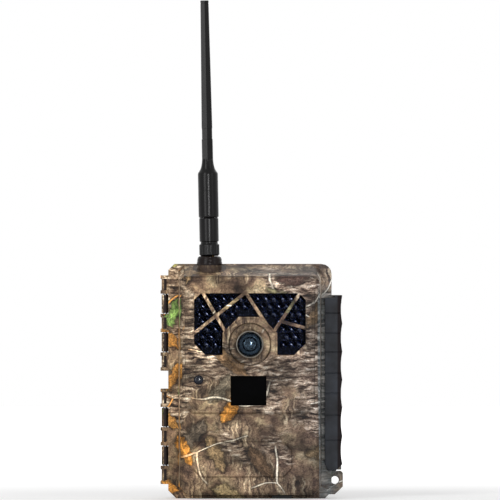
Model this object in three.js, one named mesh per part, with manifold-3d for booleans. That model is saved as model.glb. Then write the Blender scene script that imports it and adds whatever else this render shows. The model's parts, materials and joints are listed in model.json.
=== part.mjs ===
// A trail camera: a weatherproof case in two halves that open like a book on pins at the left
// and are held by a lever latch at the right. The front half carries the lens, the infrared
// lamps, the motion sensor and the electronics, and the rear half holds twelve AA cells.
// Units are millimetres, +Z is up and the lens looks towards -Y.

import * as THREE from 'three';
import { mergeVertices } from 'three/addons/utils/BufferGeometryUtils.js';
import Module from 'manifold-3d';

const wasm = await Module();
wasm.setup();

// Fits: the gap round a piece that is seated, and the gap of a pin in its hole
const fit = 0.3;
const pinFit = 0.25;

// Joined forms run into each other by the embed, and cuts run past a surface by the overrun
const embed = 0.5;
const overrun = 1.0;

// AA cells and the tray that holds them, which set the width, height and depth of the case
const cellRadius = 7.15;
const cellLength = 50.5;
const cellNubRadius = 2.7;
const cellNubHeight = 1.2;
const cellPitch = 14.6;
const cellColumns = 6;
const cellRows = 2;
const cellFrontGap = 5.35;
const trayEndWall = 1.2;
const trayBase = 2.2;
const trayMargin = 2.5;
const trayEndRoom = 7.45;
const traySideRoom = 0.45;
const trayRibFoot = 1.8;
const trayRibCrest = 0.5;
const trayRibRise = 3.5;
const trayLip = 2.0;
const contactThickness = 1.6;
const contactSpring = 3.0;
const contactSpringFoot = 3.6;
const contactSpringHead = 2.6;
const contactDepth = 12.0;

// The case: wall, the rims that meet at the parting plane, outline and corners
const wall = 2.5;
const rimWidth = 5.5;
const chamferTopLeft = 3.8;
const radiusTopRight = 6.3;
const chamferBottomRight = 4.2;
const chamferBottomLeft = 5.0;
const partingGap = 0.6;
const coverRimDepth = 8.5;
const rearRimDepth = 8.0;
const rearInset = 3.0;
const rearBevel = 2.0;
const rearBevelDepth = 3.0;
const rearShrink = 1.0;

// The stack of pieces in the front half, from the parting plane forwards
const panelRecess = 1.5;
const panelThickness = 2.0;
const panelToBoard = 3.9;
const mainBoardThickness = 1.6;
const boardToBoard = 4.5;
const ledBoardThickness = 1.6;
const ledLength = 8.6;
const ledToWindow = 0.5;
const windowThickness = 1.5;

// The front of the cover
const boxInset = 7.35;
const boxBottom = 2.6;
const boxDraft = 0.9;
const faceBevel = 2.4;
const browDrop = 6.6;
const browHeight = 7.5;
const browRise = 3.0;
const browLip = 2.2;
const browEdge = 1.0;
const browUnderhang = 2.6;
const browFoot = 2.0;
const bandRise = 1.5;
const bandFoot = 5.8;
const bandMargin = 1.6;
const bandTopDrop = 3.0;
const bandCorner = 5.0;
const innerCorner = 1.0;

// The infrared window, its slanting ribs and its lamps
const windowHalfWidth = 34.7;
const windowDrop = 11.6;
const windowHeight = 38.4;
const windowCorner = 7.2;
const windowTopCorner = 4.2;
const windowMargin = 2.5;
const windowHoleGap = 1.0;
const windowRimWidth = 3.9;
const windowRimRise = 0.8;
const windowRimCorner = 1.6;
const ribWidth = 2.0;
const ribRise = 0.4;
const ribCrownX = -2.7;
const ribLeftX = -29.4;
const ribRightX = 31.4;
const ribLeftRise = 13.2;
const ribRightRise = 16.6;
const ribBranch = 0.7;
const ribFootDepth = 1.5;
const ribLeftAngle = 156.6;
const ribInnerAngle = 33.0;
const ribRightAngle = 25.5;
const ledPitch = 5.25;
const ledRadius = 2.2;
const ledEdge = 3.4;
const ledRowShare = 0.9;
const ledCollarGap = 0.6;
const ledDome = 0.9;

// The lens and everything on its axis
const lensRise = 6.7;
const collarRadius = 17.0;
const collarRise = 5.5;
const collarBevel = 1.5;
const bezelRadius = 13.0;
const bezelRise = 1.0;
const bezelSeat = 0.5;
const bezelBevel = 0.8;
const bezelFace = 2.0;
const glassRadius = 8.1;
const glassThickness = 1.5;
const glassRecess = 1.3;
const glassShelf = 0.9;
const barrelRadius = 6.5;
const barrelPassage = 8.5;
const elementRadius = 4.6;
const elementDepth = 2.0;
const elementCrown = 1.0;
const elementSeat = 0.8;
const barrelLip = 1.0;
const holderWidth = 26.0;
const holderHeight = 16.0;
const holderRoom = 0.8;
const holderDepth = 6.2;
const holderWall = 1.8;
const filterSize = 10.0;
const filterThickness = 1.0;
const filterTravel = 6.0;
const sensorSize = 8.0;
const sensorThickness = 0.9;

// The motion sensor and the light sensor
const pirOffset = -0.85;
const pirWidth = 22.2;
const pirHeight = 18.4;
const pirDrop = 19.65;
const pirRecess = 0.8;
const pirFlange = 1.6;
const pirFlangeThickness = 1.1;
const pirCanRadius = 4.1;
const pirCanHeight = 5.0;
const pirCanBrim = 0.5;
const pirCanBrimHeight = 0.6;
const pirFrameWidth = 1.6;
const pedestalHeight = 4.9;
const pedestalRise = 1.5;
const pirFrameRise = 0.5;
const eyeOffset = -31.9;
const eyeDrop = 22.2;
const eyeRadius = 2.7;
const eyeFlange = 1.2;
const eyeFlangeThickness = 1.0;
const eyeProud = 0.4;
const eyeDome = 0.8;
const eyeFlat = 0.7;

// The blank name panel low on the cover
const plateLeft = -36.0;
const plateRight = 26.4;
const plateBottom = 13.4;
const plateTop = 36.3;
const plateCorner = 5.0;
const plateRise = 0.8;

// Hinge: two groups of knuckles on pins at the left
const hingeRadius = 3.0;
const hingeStandOff = 2.0;
const hingePinRadius = 1.5;
const hingeBarrelRadius = 2.3;
const knucklesPerGroup = 5;
const knuckleGap = 0.5;
const knuckleRib = 2.2;
const hingeLow = 8.5;
const hingeTopInset = 6.85;
const hingeMiddleGap = 10.65;
const hingeWebDepth = 2.4;
const hingeSwingGap = 0.5;

// Latch lever at the right, its pin and the lugs that carry it
const latchEarGap = 0.4;
const latchTopInset = 19.5;
const latchPivotInset = 2.6;
const latchReach = 6.65;
const latchSideGap = 0.65;
const latchHookInset = 4.15;
const latchHookThickness = 3.0;
const latchSideThickness = 3.2;
const latchPivotDepth = 13.0;
const latchKnuckleRadius = 3.2;
const latchPinRadius = 1.5;
const latchLugHeight = 5.1;
const latchWaves = 6;
const latchWaveDepth = 0.9;
const latchTaper = 4.0;
const latchRimGap = 0.5;
const latchLugRoom = 1.0;

// Padlock ears below the latch
const earBottom = 4.9;
const earTop = 17.0;
const earReach = 7.1;
const earThickness = 3.6;
const earHoleRadius = 2.5;
const earHoleInset = 5.0;
const earCorner = 2.4;
const earRoot = 4.0;
const earSlopeStart = 2.0;
const earDip = 2.5;

// Back: toothed rails that grip a trunk, strap bridges between them, tripod insert
const railDepth = 8.0;
const railWidth = 6.0;
const railOffset = 27.0;
const railBottom = 24.0;
const railTopInset = 23.9;
const railTeeth = 12;
const toothDepth = 2.6;
const toothFoot = 1.4;
const toothRoot = 1.2;
const toothFlat = 0.55;
const strapHeight = 27.0;
const strapDepth = 5.2;
const strapLow = 34.0;
const strapTopInset = 33.3;
const bridgeMargin = 3.0;
const insertRadius = 4.0;
const insertBore = 2.6;
const insertLength = 8.0;
const insertBossWall = 2.0;
const insertBossFloor = 1.25;
const insertDepth = 13.0;

// Gasket in its groove
const gasketInset = 2.6;
const gasketWidth = 1.6;
const gasketDepth = 1.6;

// Boards and parts of the control panel
const mainBoardSideGap = 2.1;
const mainBoardBottom = 14.5;
const boardTopInset = 15.3;
const ledBoardHalfWidth = 34.8;
const ledBoardFoot = 5.2;
const screenWidth = 49.0;
const screenHeight = 36.0;
const screenThickness = 2.5;
const screenBezel = 3.5;
const screenTopInset = 3.0;
const keyRadius = 3.2;
const keyFlange = 1.1;
const keyFlangeThickness = 1.0;
const keyPitch = 10.0;
const keyEdge = 3.0;
const keyDrop = 28.0;
const keyProud = 0.9;
const keyTravel = 0.6;
const keyBevel = 0.5;
const switchCentreX = 20.0;
const switchCentreZ = 30.0;
const switchKnobWidth = 6.0;
const switchKnobHeight = 4.0;
const switchTravel = 8.0;
const switchBaseMargin = 1.5;
const switchBaseThickness = 1.6;
const pocketDrop = 10.0;
const pocketLeftRoom = 4.0;
const pocketRightRoom = 2.0;
const sdWidth = 24.0;
const sdLength = 32.0;
const sdThickness = 2.1;
const sdCentreX = -20.0;
const sdStickOut = 10.0;
const sdCorner = 3.0;
const simWidth = 12.0;
const simLength = 15.0;
const simThickness = 0.8;
const simCentreX = 2.0;
const simStickOut = 5.0;
const simCorner = 2.0;
const socketTop = 44.0;
const socketWall = 0.25;
const usbWidth = 8.0;
const usbLength = 9.0;
const usbThickness = 3.0;
const usbCentreX = 2.0;
const usbDrop = 4.0;
const usbShell = 0.6;
const modemWidth = 30.0;
const modemHeight = 32.0;
const modemThickness = 2.6;
const modemBottom = 16.5;
const screwHeadRadius = 2.6;
const screwHeadHeight = 1.0;
const screwHeadBevel = 0.5;
const screwShankRadius = 1.2;
const screwLength = 8.0;
const bossRadius = 3.2;
const bossInsetX = 12.45;
const bossLow = 10.0;
const bossTopInset = 11.3;

// Low-voltage inlet and its rubber plug, under the cover
const inletX = 20.0;
const inletDepth = 18.0;
const inletRadius = 4.2;
const inletBore = 3.0;
const inletPinRadius = 0.9;
const inletLength = 12.0;
const plugWidth = 12.0;
const plugLength = 13.0;
const plugThickness = 1.6;
const plugStemRadius = 2.2;
const plugStem = 1.2;
const plugTab = 1.5;
const inletFloor = 1.5;

// Antenna on the top of the cover
const antennaX = -25.2;
const antennaDepth = 15.0;
const antennaLean = 1.13;
const antennaBossRadius = 7.6;
const antennaBossTopRadius = 5.9;
const antennaBossRise = 4.8;
const antennaBossTaper = 2.2;
const antennaBossRoot = 6.0;
const connectorRadius = 3.1;
const connectorLength = 21.0;
const connectorAbove = 5.6;
const connectorRoom = 1.0;
const connectorFlange = 1.9;
const connectorFlangeHeight = 1.5;
const nutRadius = 6.3;
const nutHeight = 7.4;
const nutRounding = 1.4;
const nutLift = 0.5;
const neckRadius = 5.6;
const neckHeight = 1.8;
const lowerBarrelRadius = 6.0;
const knuckleAxisHeight = 17.9;
const knuckleTurnGap = 0.6;
const tongueHalfWidth = 2.3;
const tongueRadius = 4.5;
const antennaPinRadius = 1.2;
const antennaPinInset = 0.4;
const upperBarrelRadius = 6.25;
const upperBarrelHeight = 27.5;
const shoulderHeight = 4.4;
const barrelEdge = 0.9;
const shoulderTop = 3.85;
const whipLength = 103.1;
const whipWidthLow = 6.9;
const whipWidthHigh = 5.0;
const whipThickness = 3.6;
const whipCorner = 1.0;
const whipTipBevel = 0.6;

// Places that follow from the sizes above, x from the middle of the case, y from the parting plane
const trayWidth = cellColumns * cellPitch + 2 * trayEndWall;
const bayLength = contactSpring + cellLength + cellNubHeight + 2 * fit;
const trayHeight = 2 * trayMargin + (cellRows + 1) * contactThickness + cellRows * bayLength;
const halfWidth = trayWidth / 2 + traySideRoom + rimWidth;
const caseHeight = trayHeight + 2 * trayEndRoom + 2 * rimWidth;
const hingeAxisX = -halfWidth - hingeStandOff;
const latchOuterX = halfWidth + latchReach;
const panelBackY = -panelRecess;
const panelFrontY = panelBackY - panelThickness;
const mainBoardBackY = panelFrontY - panelToBoard;
const mainBoardFrontY = mainBoardBackY - mainBoardThickness;
const ledBoardBackY = mainBoardFrontY - boardToBoard;
const ledBoardFrontY = ledBoardBackY - ledBoardThickness;
const ledTipY = ledBoardFrontY - ledLength;
const windowBackY = ledTipY - ledToWindow;
const windowFrontY = windowBackY - windowThickness;
const faceInsideY = windowFrontY - fit;
const faceY = faceInsideY - wall;
const bandY = faceY - bandRise;
const collarY = faceY - collarRise;
const bezelY = collarY - bezelRise;
const cellY = cellFrontGap + cellRadius;
const trayFrontY = cellY + cellRadius + fit;
const trayBackY = trayFrontY + trayBase;
const backInsideY = trayBackY + fit;
const backY = backInsideY + wall;
const railY = backY + railDepth;
const boxHalfWidth = halfWidth - boxInset;
const browZ = caseHeight - browDrop;
const windowTop = browZ - windowDrop;
const windowBottom = windowTop - windowHeight;
const lensHeight = windowBottom + lensRise;
const pirTop = lensHeight - pirDrop;
const pirBottom = pirTop - pirHeight;
const bandBottom = pirBottom - bandFoot;
const eyeHeight = lensHeight - eyeDrop;
const hingeSpan = caseHeight - hingeLow - hingeTopInset;
const knuckleHeight = (hingeSpan - hingeMiddleGap) / (2 * knucklesPerGroup);
const hingeGroupHeight = knucklesPerGroup * knuckleHeight;
const hingeGroupBottoms = [hingeLow, hingeLow + hingeGroupHeight + hingeMiddleGap];
const latchBottom = earTop + latchEarGap;
const latchTop = caseHeight - latchTopInset;
const toothPitch = (caseHeight - railTopInset - railBottom) / railTeeth;
const strapHigh = caseHeight - strapTopInset - strapHeight;
const mainBoardHalfWidth = boxHalfWidth - wall - mainBoardSideGap;
const boardTop = caseHeight - boardTopInset;
const ledBoardBottom = windowBottom - ledBoardFoot;
const screenCentre = boardTop - screenTopInset - screenHeight / 2;
const screenBottom = screenCentre - screenHeight / 2;
const keyCentreX = mainBoardHalfWidth - keyPitch - keyEdge;
const keyCentreZ = screenBottom - keyDrop;
const pocketLeft = sdCentreX - sdWidth / 2 - pocketLeftRoom;
const pocketRight = simCentreX + simWidth / 2 + pocketRightRoom;
const pocketTop = screenBottom - pocketDrop;
const usbBottom = pocketTop - usbDrop - usbLength;
const bossHigh = caseHeight - bossTopInset;

// Shapes: each helper returns a closed geometry
function box(x0, x1, y0, y1, z0, z1) {
  const geometry = new THREE.BoxGeometry(x1 - x0, y1 - y0, z1 - z0);
  geometry.translate((x0 + x1) / 2, (y0 + y1) / 2, (z0 + z1) / 2);
  return geometry;
}

function prismAlongY(points, yFront, yBack) {
  const shape = new THREE.Shape(points.map(([x, z]) => new THREE.Vector2(x, z)));
  const geometry = new THREE.ExtrudeGeometry(shape, { depth: yBack - yFront, bevelEnabled: false });
  geometry.rotateX(Math.PI / 2);
  geometry.translate(0, yBack, 0);
  return geometry;
}

function prismAlongX(points, x0, x1) {
  const shape = new THREE.Shape(points.map(([y, z]) => new THREE.Vector2(y, z)));
  const geometry = new THREE.ExtrudeGeometry(shape, { depth: x1 - x0, bevelEnabled: false });
  geometry.rotateX(Math.PI / 2);
  geometry.rotateZ(Math.PI / 2);
  geometry.translate(x0, 0, 0);
  return geometry;
}

function prismAlongZ(points, z0, z1) {
  const shape = new THREE.Shape(points.map(([x, y]) => new THREE.Vector2(x, y)));
  const geometry = new THREE.ExtrudeGeometry(shape, { depth: z1 - z0, bevelEnabled: false });
  geometry.translate(0, 0, z0);
  return geometry;
}

// A turned piece from a profile of [radius, height] points that starts and ends on the axis
function turned(profile, sides) {
  const points = profile.map(([radius, height]) => new THREE.Vector2(radius, height));
  const geometry = new THREE.LatheGeometry(points, sides);
  geometry.rotateX(Math.PI / 2);
  return geometry;
}

function rod(radius, z0, z1, sides = 16) {
  return turned([[0, z0], [radius, z0], [radius, z1], [0, z1]], sides);
}

// Turned pieces that face forwards: heights become distances in front of the parting plane
function facing(geometry, x, z) {
  geometry.rotateX(Math.PI / 2);
  geometry.translate(x, 0, z);
  return geometry;
}

function rodFacing(radius, yFront, yBack, x, z, sides = 16) {
  return facing(rod(radius, -yBack, -yFront, sides), x, z);
}

function rodAcross(radius, x0, x1, y, z, sides = 16) {
  const geometry = rod(radius, x0, x1, sides);
  geometry.rotateY(Math.PI / 2);
  geometry.translate(0, y, z);
  return geometry;
}

function rodUpright(radius, z0, z1, x, y, sides = 16) {
  const geometry = rod(radius, z0, z1, sides);
  geometry.translate(x, y, 0);
  return geometry;
}

// An outline with cut corners at the left and bottom and a round one at the top right
function caseOutline(left, right, bottom, top, shrink) {
  const topLeft = Math.max(chamferTopLeft - shrink, 0.6);
  const round = Math.max(radiusTopRight - shrink, 0.6);
  const bottomRight = Math.max(chamferBottomRight - shrink, 0.6);
  const bottomLeft = Math.max(chamferBottomLeft - shrink, 0.6);
  const points = [[left, bottom + bottomLeft], [left + bottomLeft, bottom]];
  points.push([right - bottomRight, bottom], [right, bottom + bottomRight]);
  const arcSteps = 4;
  for (let step = 0; step <= arcSteps; step += 1) {
    const angle = (step / arcSteps) * Math.PI / 2;
    points.push([right - round + round * Math.cos(angle), top - round + round * Math.sin(angle)]);
  }
  points.push([left + topLeft, top], [left, top - topLeft]);
  return points;
}

// A solid through several outlines of as many points each, given from back to front
function loft(sections) {
  const count = sections[0].points.length;
  const positions = sections.flatMap(({ points, y }) => points.flatMap(([x, z]) => [x, y, z]));
  const index = [];
  for (let ring = 0; ring + 1 < sections.length; ring += 1) {
    for (let i = 0; i < count; i += 1) {
      const a = ring * count + i;
      const b = ring * count + (i + 1) % count;
      index.push(a, b, a + count, b, b + count, a + count);
    }
  }
  const cap = (ring, flip) => {
    const contour = sections[ring].points.map(([x, z]) => new THREE.Vector2(x, z));
    for (const [a, b, c] of THREE.ShapeUtils.triangulateShape(contour, [])) {
      const offset = ring * count;
      index.push(offset + a, offset + (flip ? c : b), offset + (flip ? b : c));
    }
  };
  cap(0, true);
  cap(sections.length - 1, false);
  const geometry = new THREE.BufferGeometry();
  geometry.setAttribute('position', new THREE.Float32BufferAttribute(positions, 3));
  geometry.setIndex(index);
  return geometry;
}

function solidOf(geometry) {
  const bare = geometry.clone();
  bare.deleteAttribute('normal');
  bare.deleteAttribute('uv');
  const merged = mergeVertices(bare, 1e-4);
  const triangles = [];
  for (let i = 0; i < merged.index.count; i += 3) {
    const [a, b, c] = merged.index.array.slice(i, i + 3);
    if (a !== b && b !== c && c !== a) triangles.push(a, b, c);
  }
  return new wasm.Manifold(new wasm.Mesh({
    numProp: 3,
    vertProperties: new Float32Array(merged.attributes.position.array),
    triVerts: new Uint32Array(triangles),
  }));
}

function geometryOf(solid) {
  const mesh = solid.getMesh();
  const geometry = new THREE.BufferGeometry();
  geometry.setAttribute('position', new THREE.BufferAttribute(mesh.vertProperties, 3));
  geometry.setIndex(new THREE.BufferAttribute(mesh.triVerts, 1));
  geometry.computeVertexNormals();
  return geometry;
}

// Joins the first list of geometries and cuts the second list away
function carve(joined, cuts) {
  let solid = solidOf(joined[0]);
  for (const piece of joined.slice(1)) solid = solid.add(solidOf(piece));
  for (const piece of cuts) solid = solid.subtract(solidOf(piece));
  return geometryOf(solid);
}

function common(first, second) {
  return geometryOf(solidOf(first).intersect(solidOf(second)));
}

function panelOutline(left, right, bottom, top, lowCorner, highCorner) {
  return [
    [left, bottom + lowCorner], [left + lowCorner, bottom],
    [right - lowCorner, bottom], [right, bottom + lowCorner],
    [right, top - highCorner], [right - highCorner, top],
    [left + highCorner, top], [left, top - highCorner],
  ];
}

function octagon(radius, centreZ) {
  const corner = radius / Math.cos(Math.PI / 8);
  return Array.from({ length: 8 }, (_, i) => {
    const angle = (i + 0.5) * Math.PI / 4;
    return [corner * Math.cos(angle), centreZ + corner * Math.sin(angle)];
  });
}

// The case outline drawn in by one distance all round
function insetCase(inset) {
  return caseOutline(-halfWidth + inset, halfWidth - inset, inset, caseHeight - inset, inset);
}

// Hinge knuckles of one half: the cover has the first, third and fifth of each group
function knuckles(ofCover) {
  const side = ofCover ? -1 : 1;
  const rimY = ofCover ? hingeSwingGap : partingGap;
  const span = (near, far) => [Math.min(side * near, side * far), Math.max(side * near, side * far)];
  const pieces = [];
  for (const groupBottom of hingeGroupBottoms) {
    for (let i = ofCover ? 0 : 1; i < knucklesPerGroup; i += 2) {
      const low = groupBottom + i * knuckleHeight + knuckleGap / 2;
      const high = low + knuckleHeight - knuckleGap;
      pieces.push(rodUpright(hingeBarrelRadius, low, high, hingeAxisX, 0, 14));
      pieces.push(box(hingeAxisX, -halfWidth + overrun, ...span(rimY, hingeWebDepth), low, high));
      if (!ofCover) continue;
      for (const ribLow of [low, high - knuckleRib]) {
        pieces.push(rodUpright(hingeRadius, ribLow, ribLow + knuckleRib, hingeAxisX, 0, 14));
        const ribHigh = ribLow + knuckleRib;
        pieces.push(box(hingeAxisX, -halfWidth + overrun, ...span(rimY, hingeRadius), ribLow, ribHigh));
      }
    }
  }
  return pieces;
}

// Room in one half for the knuckles of the other
function knucklePockets(ofCover) {
  const pockets = [];
  for (const groupBottom of hingeGroupBottoms) {
    for (let i = ofCover ? 1 : 0; i < knucklesPerGroup; i += 2) {
      const low = groupBottom + i * knuckleHeight - knuckleGap / 2;
      const high = low + knuckleHeight + knuckleGap;
      pockets.push(rodUpright(hingeRadius + hingeSwingGap, low, high, hingeAxisX, 0, 14));
    }
  }
  return pockets;
}

function hingePinHoles() {
  return hingeGroupBottoms.map((bottom) => rodUpright(
    hingePinRadius + pinFit, bottom - overrun, bottom + hingeGroupHeight + overrun, hingeAxisX, 0, 14));
}

function hingePin(groupBottom) {
  const top = groupBottom + hingeGroupHeight;
  return rodUpright(hingePinRadius, groupBottom + fit, top - fit, hingeAxisX, 0, 14);
}

function padlockEar(yFront, yBack) {
  const root = halfWidth - earRoot;
  const tip = halfWidth + earReach;
  const slopeStart = halfWidth + earSlopeStart;
  return prismAlongY([
    [root, earBottom - earDip], [slopeStart, earBottom - earDip], [tip - earCorner, earBottom],
    [tip, earBottom + earCorner], [tip, earTop - earCorner / 2],
    [tip - earCorner / 2, earTop], [root, earTop],
  ], yFront, yBack);
}

function earHole() {
  const centreZ = (earBottom + earTop) / 2 + fit;
  const reach = earThickness + overrun;
  return rodFacing(earHoleRadius, -reach, reach + partingGap, halfWidth + earReach - earHoleInset, centreZ);
}

const bossPlaces = [-1, 1].flatMap((side) => (
  [bossLow, bossHigh].map((z) => [side * (halfWidth - bossInsetX), z])));

const antennaBossTop = caseHeight + antennaBossRise;
const windowShape = panelOutline(
  -windowHalfWidth, windowHalfWidth, windowBottom, windowTop, windowCorner, windowTopCorner);

// A straight rib between two points of the window, kept to the window's opening
function windowRib([x0, z0], [x1, z1]) {
  const length = Math.hypot(x1 - x0, z1 - z0);
  const offsetX = -(z1 - z0) / length * ribWidth / 2;
  const offsetZ = (x1 - x0) / length * ribWidth / 2;
  return prismAlongY([
    [x0 - offsetX, z0 - offsetZ], [x1 - offsetX, z1 - offsetZ],
    [x1 + offsetX, z1 + offsetZ], [x0 + offsetX, z0 + offsetZ],
  ], bandY - ribRise, faceInsideY);
}

// The point on the lens collar where a rib ends
function ribFoot(degrees) {
  const angle = THREE.MathUtils.degToRad(degrees);
  const reach = collarRadius - ribFootDepth;
  return [reach * Math.cos(angle), lensHeight + reach * Math.sin(angle)];
}

function windowRibs() {
  const left = -windowHalfWidth - embed;
  const right = windowHalfWidth + embed;
  const top = windowTop + embed;
  const crown = [ribCrownX, top];
  const rightHead = [ribRightX, top];
  const rightFoot = ribFoot(ribRightAngle);
  const branch = rightHead.map((value, i) => value + ribBranch * (rightFoot[i] - value));
  return [
    windowRib([ribLeftX, top], ribFoot(ribLeftAngle)),
    windowRib(crown, [left, windowBottom + ribLeftRise]),
    windowRib(crown, ribFoot(ribInnerAngle)),
    windowRib(rightHead, rightFoot),
    windowRib(branch, [right, windowBottom + ribRightRise]),
  ];
}

// Front cover: rim, tapered box, brow, band with window and collar, name panel
function frontCover() {
  const boxTop = caseHeight - fit;
  const wide = boxHalfWidth + boxDraft;
  const narrow = boxHalfWidth - faceBevel;
  const shoulderY = faceY + faceBevel;
  const browFrontY = faceY - browRise;
  const browBottom = browZ - browHeight - browFoot;
  const rimFront = -coverRimDepth;
  const recessY = rimFront + wall;
  const bandTop = browZ - bandTopDrop;
  const bossRootZ = caseHeight - antennaBossRoot;
  const rimCorner = windowCorner + windowRimCorner;
  const rimTopCorner = windowTopCorner + windowRimCorner;
  const shell = carve([
    prismAlongY(insetCase(0), rimFront, 0),
    loft([
      { y: rimFront + embed, points: caseOutline(-wide, wide, boxBottom, boxTop, 0) },
      { y: shoulderY, points: caseOutline(-boxHalfWidth, boxHalfWidth, boxBottom, browZ, 0) },
      { y: faceY, points: caseOutline(-narrow, narrow, boxBottom + faceBevel, browZ - faceBevel, 0) },
    ]),
    prismAlongX([
      [shoulderY, browZ], [browFrontY + browEdge, browZ - browEdge], [browFrontY, browZ - browLip],
      [browFrontY, browBottom + browUnderhang], [bandY, browBottom], [shoulderY, browBottom],
    ], -narrow, narrow),
    loft([
      {
        y: faceY + embed,
        points: panelOutline(-narrow, narrow, bandBottom, bandTop, bandCorner, bandCorner),
      },
      {
        y: bandY,
        points: panelOutline(
          -narrow + bandMargin, narrow - bandMargin, bandBottom + bandMargin, bandTop - bandMargin,
          bandCorner, bandCorner),
      },
    ]),
    prismAlongY(panelOutline(
      -windowHalfWidth - windowRimWidth, windowHalfWidth + windowRimWidth,
      windowBottom - windowRimWidth, windowTop + windowRimWidth, rimCorner, rimTopCorner,
    ), bandY - windowRimRise, faceY + embed),
    loft([
      {
        y: faceY + embed,
        points: panelOutline(plateLeft, plateRight, plateBottom, plateTop, plateCorner, plateCorner),
      },
      {
        y: faceY - plateRise,
        points: panelOutline(
          plateLeft + plateRise, plateRight - plateRise, plateBottom + plateRise, plateTop - plateRise,
          plateCorner, plateCorner),
      },
    ]),
    turned([
      [0, bossRootZ], [antennaBossRadius, bossRootZ], [antennaBossRadius, antennaBossTop - antennaBossTaper],
      [antennaBossTopRadius, antennaBossTop], [0, antennaBossTop],
    ], 20).translate(antennaX, -antennaDepth, 0),
    padlockEar(-earThickness, 0),
    ...knuckles(true),
  ], [
    prismAlongY(insetCase(rimWidth), recessY, overrun),
    loft([
      {
        y: recessY + embed,
        points: caseOutline(-wide + wall, wide - wall, rimWidth, caseHeight - rimWidth, wall),
      },
      {
        y: shoulderY,
        points: caseOutline(-boxHalfWidth + wall, boxHalfWidth - wall, rimWidth, browZ - wall, wall),
      },
      {
        y: faceInsideY,
        points: caseOutline(
          -narrow + innerCorner, narrow - innerCorner,
          rimWidth + innerCorner, browZ - wall - innerCorner, wall),
      },
    ]),
    prismAlongY(windowShape, collarY, faceInsideY + overrun),
    ...knucklePockets(true),
  ]);
  const pirLeft = pirOffset - pirWidth / 2;
  const pirRight = pirOffset + pirWidth / 2;
  const seatY = faceY - bezelSeat;
  const raised = carve([
    shell,
    ...windowRibs(),
    loft([
      { y: faceInsideY, points: octagon(collarRadius, lensHeight) },
      { y: collarY + collarBevel, points: octagon(collarRadius, lensHeight) },
      { y: collarY, points: octagon(collarRadius - collarBevel, lensHeight) },
    ]),
    box(
      pirLeft - embed, pirRight + embed, bandY - pedestalRise, faceY,
      pirTop, pirTop + pedestalHeight),
    box(
      pirLeft - pirFrameWidth, pirRight + pirFrameWidth, bandY - pirFrameRise, faceY,
      pirBottom - pirFrameWidth, pirTop + pirFrameWidth),
    ...bossPlaces.map(([x, z]) => rodFacing(bossRadius, faceInsideY - embed, panelFrontY - fit, x, z, 12)),
  ], [
    rodFacing(bezelRadius + fit, collarY - overrun, seatY, 0, lensHeight, 32),
    rodFacing(barrelPassage, seatY - overrun, faceInsideY + overrun, 0, lensHeight, 24),
    box(pirLeft, pirRight, collarY, faceInsideY + overrun, pirBottom, pirTop),
    rodFacing(eyeRadius + fit, collarY, faceInsideY + overrun, eyeOffset, eyeHeight, 14),
    ...bossPlaces.map(([x, z]) => (
      rodFacing(screwShankRadius + fit, panelFrontY - screwLength, panelFrontY + overrun, x, z, 8))),
    rodUpright(connectorRadius + fit, bossRootZ - antennaBossRoot, antennaBossTop + overrun,
      antennaX, -antennaDepth, 16),
    rodUpright(inletRadius + fit, boxBottom - overrun, rimWidth + overrun, inletX, -inletDepth, 16),
    earHole(),
    ...hingePinHoles(),
  ]);
  return raised;
}

// Rear housing: rim with gasket groove, body, toothed rails, strap bridges, latch lugs
function toothedRail(x) {
  const points = [[backY - embed, railBottom]];
  for (let i = 0; i < railTeeth; i += 1) {
    const low = railBottom + i * toothPitch;
    points.push([railY, low + toothFoot], [railY, low + toothPitch * toothFlat]);
    points.push([railY - toothDepth, low + toothPitch - toothRoot]);
  }
  points.push([backY - embed, railBottom + railTeeth * toothPitch]);
  return prismAlongX(points, x - railWidth / 2, x + railWidth / 2);
}

const latchPivotX = halfWidth + latchSideGap + latchPivotInset;
const lugRanges = [[latchBottom, latchBottom + latchLugHeight], [latchTop - latchLugHeight, latchTop]];

function latchPinHole() {
  return rodUpright(
    latchPinRadius + pinFit, latchBottom - overrun, latchTop + overrun, latchPivotX, latchPivotDepth, 14);
}

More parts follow.
